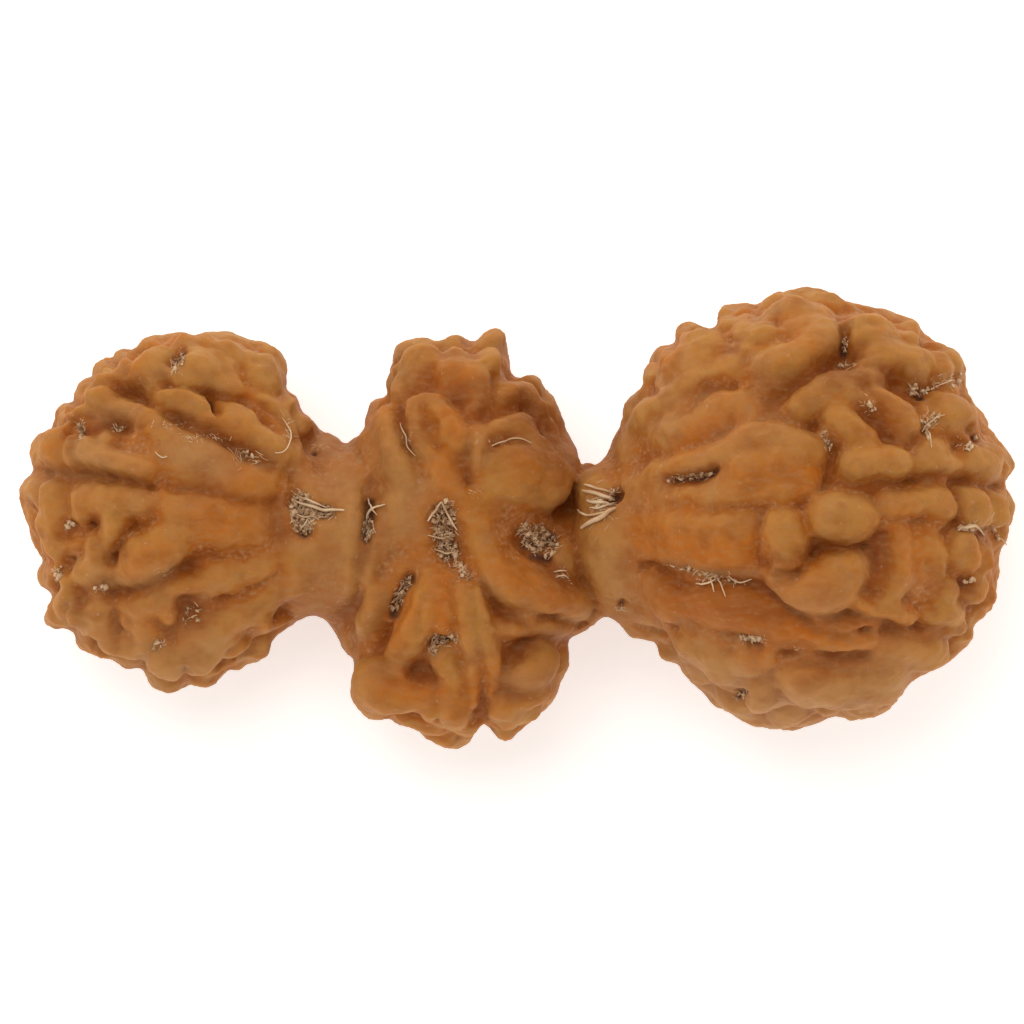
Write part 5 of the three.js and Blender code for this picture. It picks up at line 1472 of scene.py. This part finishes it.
# %% The group for soft spots
# All three finishes are mottled, so the mottling is one node group with its own inputs.
spots_group = bpy.data.node_groups.new("soft spots", "ShaderNodeTree")
spots_group.interface.new_socket("Place", in_out="INPUT", socket_type="NodeSocketVector")
for socket_name in ("Scale", "Detail", "Low", "High"):
    spots_group.interface.new_socket(socket_name, in_out="INPUT", socket_type="NodeSocketFloat")
spots_group.interface.new_socket("Mask", in_out="OUTPUT", socket_type="NodeSocketFloat")
given = spots_group.nodes.new("NodeGroupInput")
result = spots_group.nodes.new("NodeGroupOutput")
spots = spots_group.nodes.new("ShaderNodeTexNoise")
spread = spots_group.nodes.new("ShaderNodeMapRange")
for source, target in (
    (given.outputs["Place"], spots.inputs["Vector"]),
    (given.outputs["Scale"], spots.inputs["Scale"]),
    (given.outputs["Detail"], spots.inputs["Detail"]),
    (given.outputs["Low"], spread.inputs["From Min"]),
    (given.outputs["High"], spread.inputs["From Max"]),
    (spots.outputs["Fac"], spread.inputs["Value"]),
    (spread.outputs["Result"], result.inputs["Mask"]),
):
    spots_group.links.new(source, target)
print("soft spots:", len(spots_group.nodes), "nodes")


# %% Helpers for masks and layers
def grain(tree, size, detail, low=0.35, high=0.65, stretch=1.0):
    """Soft spots of about this size in millimetres, stretched along x, as a mask from 0 to 1."""
    place = tree.nodes.get("Texture Coordinate") or tree.nodes.new("ShaderNodeTexCoord")
    longer = tree.nodes.new("ShaderNodeMapping")
    longer.inputs["Scale"].default_value = (1 / stretch, 1, 1)
    tree.links.new(place.outputs["Object"], longer.inputs["Vector"])
    node = tree.nodes.new("ShaderNodeGroup")
    node.node_tree = spots_group
    set_values(node, {"Scale": 1000 / size, "Detail": detail, "Low": low, "High": high})
    tree.links.new(longer.outputs["Vector"], node.inputs["Place"])
    return node.outputs["Mask"]


def between(tree, value, low, high):
    """A mask that goes softly from 0 where the value is low to 1 where it is high."""
    node = tree.nodes.new("ShaderNodeMapRange")
    node.interpolation_type = "SMOOTHSTEP"
    set_values(node, {"From Min": low, "From Max": high})
    tree.links.new(value, node.inputs["Value"])
    return node.outputs["Result"]


def reckoned(tree, kind, a, b):
    """Two masks, or a mask and a number, put together by MULTIPLY or ADD."""
    node = tree.nodes.new("ShaderNodeMath")
    node.operation = kind
    for socket, value in zip(node.inputs, (a, b)):
        if isinstance(value, (int, float)):
            socket.default_value = value
        else:
            tree.links.new(value, socket)
    return node.outputs[0]


def times(tree, a, b):
    return reckoned(tree, "MULTIPLY", a, b)


def layered(tree, under, over, mask):
    """Lays a colour over another where the mask is 1."""
    node = tree.nodes.new("ShaderNodeMix")
    node.data_type = "RGBA"
    tree.links.new(mask, node.inputs["Factor"])
    for socket, value in ((node.inputs[6], under), (node.inputs[7], over)):
        if isinstance(value, tuple):
            socket.default_value = (*value, 1)
        else:
            tree.links.new(value, socket)
    return node.outputs[2]


# %% The waxy stone
AMBER = (0.37, 0.108, 0.009)
BRIGHT = (0.45, 0.115, 0.004)
TAN = (0.44, 0.2, 0.042)
# Pale dust, also laid on as painted light on the lit edges and the lower skin.
DUST_AND_LIGHT = (0.41, 0.2, 0.072)
# Painted shade for the valleys, also used for random dark mottling.
VALLEY_SHADE_AND_MOTTLE = (0.27, 0.062, 0.005)
# Dark red-brown for painted shade and for real stains.
SHADE_AND_STAIN_BROWN = (0.19, 0.042, 0.006)
# Painted shade on the floors of the pits.
PIT_SHADE_BROWN = (0.1, 0.032, 0.012)
FROST = (0.8, 0.55, 0.4)
FUZZ = (0.56, 0.3, 0.15)

wax, nodes, links = new_material("waxy stone")
wax_tree = wax.node_tree
stand = measured(wax_tree, "stand")
shade_and_stain = measured(wax_tree, "shade_and_stain")
# Fuzz is left on the sides of the knobs, between valley and crest, and not where shade and stains are
# painted.
sides = times(wax_tree, between(wax_tree, stand, 0.14, 0.32), between(wax_tree, stand, 0.56, 0.4))
sides = times(wax_tree, sides, between(wax_tree, shade_and_stain, 0.5, 0.1))
# From the lowest layer to the highest: its colour, where it lies, and how much of it shows.
WAX_LAYERS = (
    (TAN, between(wax_tree, stand, 0.46, 0.8), 0.85),
    (TAN, measured(wax_tree, "steep"), 0.4),
    (BRIGHT, grain(wax_tree, 2.4, 2, 0.45, 0.7), 0.5),
    (DUST_AND_LIGHT, grain(wax_tree, 1.3, 4, 0.46, 0.7), 0.5),
    (BRIGHT, measured(wax_tree, "bright"), 0.8),
    # painted shade: the valleys are darkened red-brown, as if the creases shaded them
    (VALLEY_SHADE_AND_MOTTLE, between(wax_tree, stand, 0.48, 0.18), 0.75),
    (FUZZ, times(wax_tree, sides, grain(wax_tree, 0.16, 4, 0.48, 0.7)), 0.5),
    # painted shade and stains from the strokes
    (SHADE_AND_STAIN_BROWN, shade_and_stain, 0.75),
    # pale dust and painted light on the edges and the lower skin
    (DUST_AND_LIGHT, measured(wax_tree, "dust_and_light"), 0.7),
    # random streaky dark mottling in the same red-brown
    (SHADE_AND_STAIN_BROWN, grain(wax_tree, 0.9, 5, 0.5, 0.72, 1.6), 0.4),
    (DUST_AND_LIGHT, grain(wax_tree, 0.2, 3, 0.45, 0.7, 2.2), 0.38),
    # random dark mottling in the same valley brown
    (VALLEY_SHADE_AND_MOTTLE, grain(wax_tree, 0.5, 4, 0.45, 0.75), 0.25),
    (FROST, grain(wax_tree, 0.16, 0, 0.78, 0.88), 0.14),
)
colour = AMBER
for over, mask, share in WAX_LAYERS:
    colour = layered(wax_tree, colour, over, times(wax_tree, mask, share))
# Painted shade: the pit floors turn dark brown.
colour = layered(wax_tree, colour, PIT_SHADE_BROWN, between(wax_tree, measured(wax_tree, "pit"), 0.5, 0.98))
print("layers of colour:", len(WAX_LAYERS) + 2)

# %% Its surface
shader = nodes["Principled BSDF"]
links.new(colour, shader.inputs["Base Color"])
waxy = {
    "Roughness": 0.6,
    "Specular IOR Level": 0.14,
    "Subsurface Weight": 0.45,
    "Subsurface Radius": (1.0, 0.42, 0.14),
    "Subsurface Scale": 0.0006,
}
set_values(shader, waxy)
bump = nodes.new("ShaderNodeBump")
set_values(bump, {"Strength": 0.7, "Distance": 0.00005})
coarse = grain(wax_tree, 0.35, 4, 0, 1)
finer = times(wax_tree, grain(wax_tree, 0.09, 2, 0, 1), 0.5)
links.new(reckoned(wax_tree, "ADD", coarse, finer), bump.inputs["Height"])
links.new(bump.outputs["Normal"], shader.inputs["Normal"])
shell.data.materials.clear()
shell.data.materials.append(wax)
print("waxy stone:", len(nodes), "nodes")

# %% Cork and straw
BEIGE = (0.68, 0.46, 0.27)
DARK_CORK = (0.32, 0.155, 0.065)
STRAW = (0.58, 0.36, 0.19)
PALE_STRAW = (0.74, 0.54, 0.34)


def dry_material(name, dark, light, size):
    """A matte, speckled finish between two colours."""
    material, nodes, links = new_material(name)
    tree = material.node_tree
    shader = nodes["Principled BSDF"]
    links.new(layered(tree, dark, light, grain(tree, size, 3, 0.38, 0.6)), shader.inputs["Base Color"])
    set_values(shader, {"Roughness": 0.85, "Specular IOR Level": 0.15})
    return material


cork.data.materials.clear()
cork.data.materials.append(dry_material("dry cork", DARK_CORK, BEIGE, 0.22))
fluff.data.materials.clear()
fluff.data.materials.append(dry_material("dried straw", STRAW, PALE_STRAW, 0.6))
print("finishes:", [piece.data.materials[0].name for piece in (shell, cork, fluff)])

# %% [markdown]
# ## Handing the pieces over
# The stones are one grown thing, so all three pieces ride on the same body. The shell stands for the
# solid of the CAD model. Crumbs and strands could replace it too, but they only lie on it.

# %% The body and the replaced solid
for piece in (cork, fluff, shell):
    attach(piece, "root")
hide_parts("fused_stones")
print("pieces:", shell.name, cork.name, fluff.name)

# %% [markdown]
# ## Table, light and camera
# The picture is taken straight down on white, in a light tent: most of the light comes in low from all
# sides, so knobs are bright towards the outline and valleys stay dark, with one softbox at the far
# side. A ring of lamps could do it too, but a sky that is bright at its edge throws no hard shadows.

# %% Floor
TABLE_SIZE = 3.0
bpy.ops.object.select_all(action="DESELECT")
bpy.ops.mesh.primitive_plane_add(size=TABLE_SIZE, location=(0, 0, 0))
table = bpy.context.object
table.name = "table"
white, nodes, _ = new_material("table white")
glowing = {
    "Base Color": (0.93, 0.93, 0.93, 1),
    "Roughness": 0.9,
    "Emission Color": (1, 1, 1, 1),
    "Emission Strength": 0.45,
}
set_values(nodes["Principled BSDF"], glowing)
table.data.materials.append(white)
print("table:", TABLE_SIZE, "m")

# %% Lights
# How bright the sky is at its edge and straight above, and where the softbox hangs.
HORIZON = 1.5
ZENITH = 0.25
SOFTBOX_PLACE = (-0.06, 0.14, 0.44)
SOFTBOX_SIZE = 0.22
SOFTBOX_POWER = 0.8
world = bpy.data.worlds.new("studio")
bpy.context.scene.world = world
world.use_nodes = True
nodes = world.node_tree.nodes
links = world.node_tree.links
sky = nodes["Background"]
set_values(sky, {"Color": (1.0, 0.97, 0.92, 1)})
towards = nodes.new("ShaderNodeTexCoord")
height_of = nodes.new("ShaderNodeSeparateXYZ")
tent = nodes.new("ShaderNodeMapRange")
set_values(tent, {"To Min": HORIZON, "To Max": ZENITH})
links.new(towards.outputs["Generated"], height_of.inputs["Vector"])
links.new(height_of.outputs["Z"], tent.inputs["Value"])
links.new(tent.outputs["Result"], sky.inputs["Strength"])

bpy.ops.object.select_all(action="DESELECT")
bpy.ops.object.light_add(type="AREA", location=SOFTBOX_PLACE)
lamp = bpy.context.object
lamp.name = "far softbox"
lamp.data.size = SOFTBOX_SIZE
lamp.data.energy = SOFTBOX_POWER
lamp.rotation_mode = "QUATERNION"
lamp.rotation_quaternion = (-Vector(SOFTBOX_PLACE)).to_track_quat("-Z", "Y")
bpy.context.scene.view_settings.view_transform = "Standard"
print("sky from", HORIZON, "at its edge to", ZENITH, "above")

# %% Camera
# The row is 35 mm long and 997 pixels wide, and its middle is at this pixel. The widest level of the
# stones is what shows at that scale.
PHOTO_SIDE = 1024
MIDDLE_PIXEL = (516.5, 518)
MM_PER_PIXEL = 35.0 / 997
SENSOR = 36
DISTANCE = 0.9
LEVEL = 0.0068
aside = (PHOTO_SIDE / 2 - MIDDLE_PIXEL[0]) * MM_PER_PIXEL / 1000
up = (MIDDLE_PIXEL[1] - PHOTO_SIDE / 2) * MM_PER_PIXEL / 1000
bpy.ops.object.select_all(action="DESELECT")
bpy.ops.object.camera_add(location=(aside, up, LEVEL + DISTANCE), rotation=(0, 0, 0))
camera = bpy.context.object
camera.name = "camera"
camera.data.sensor_width = SENSOR
camera.data.lens = SENSOR * DISTANCE / (PHOTO_SIDE * MM_PER_PIXEL / 1000)
camera.data.clip_start = 0.05
camera.data.clip_end = 10
bpy.context.scene.camera = camera
print("lens", round(camera.data.lens))
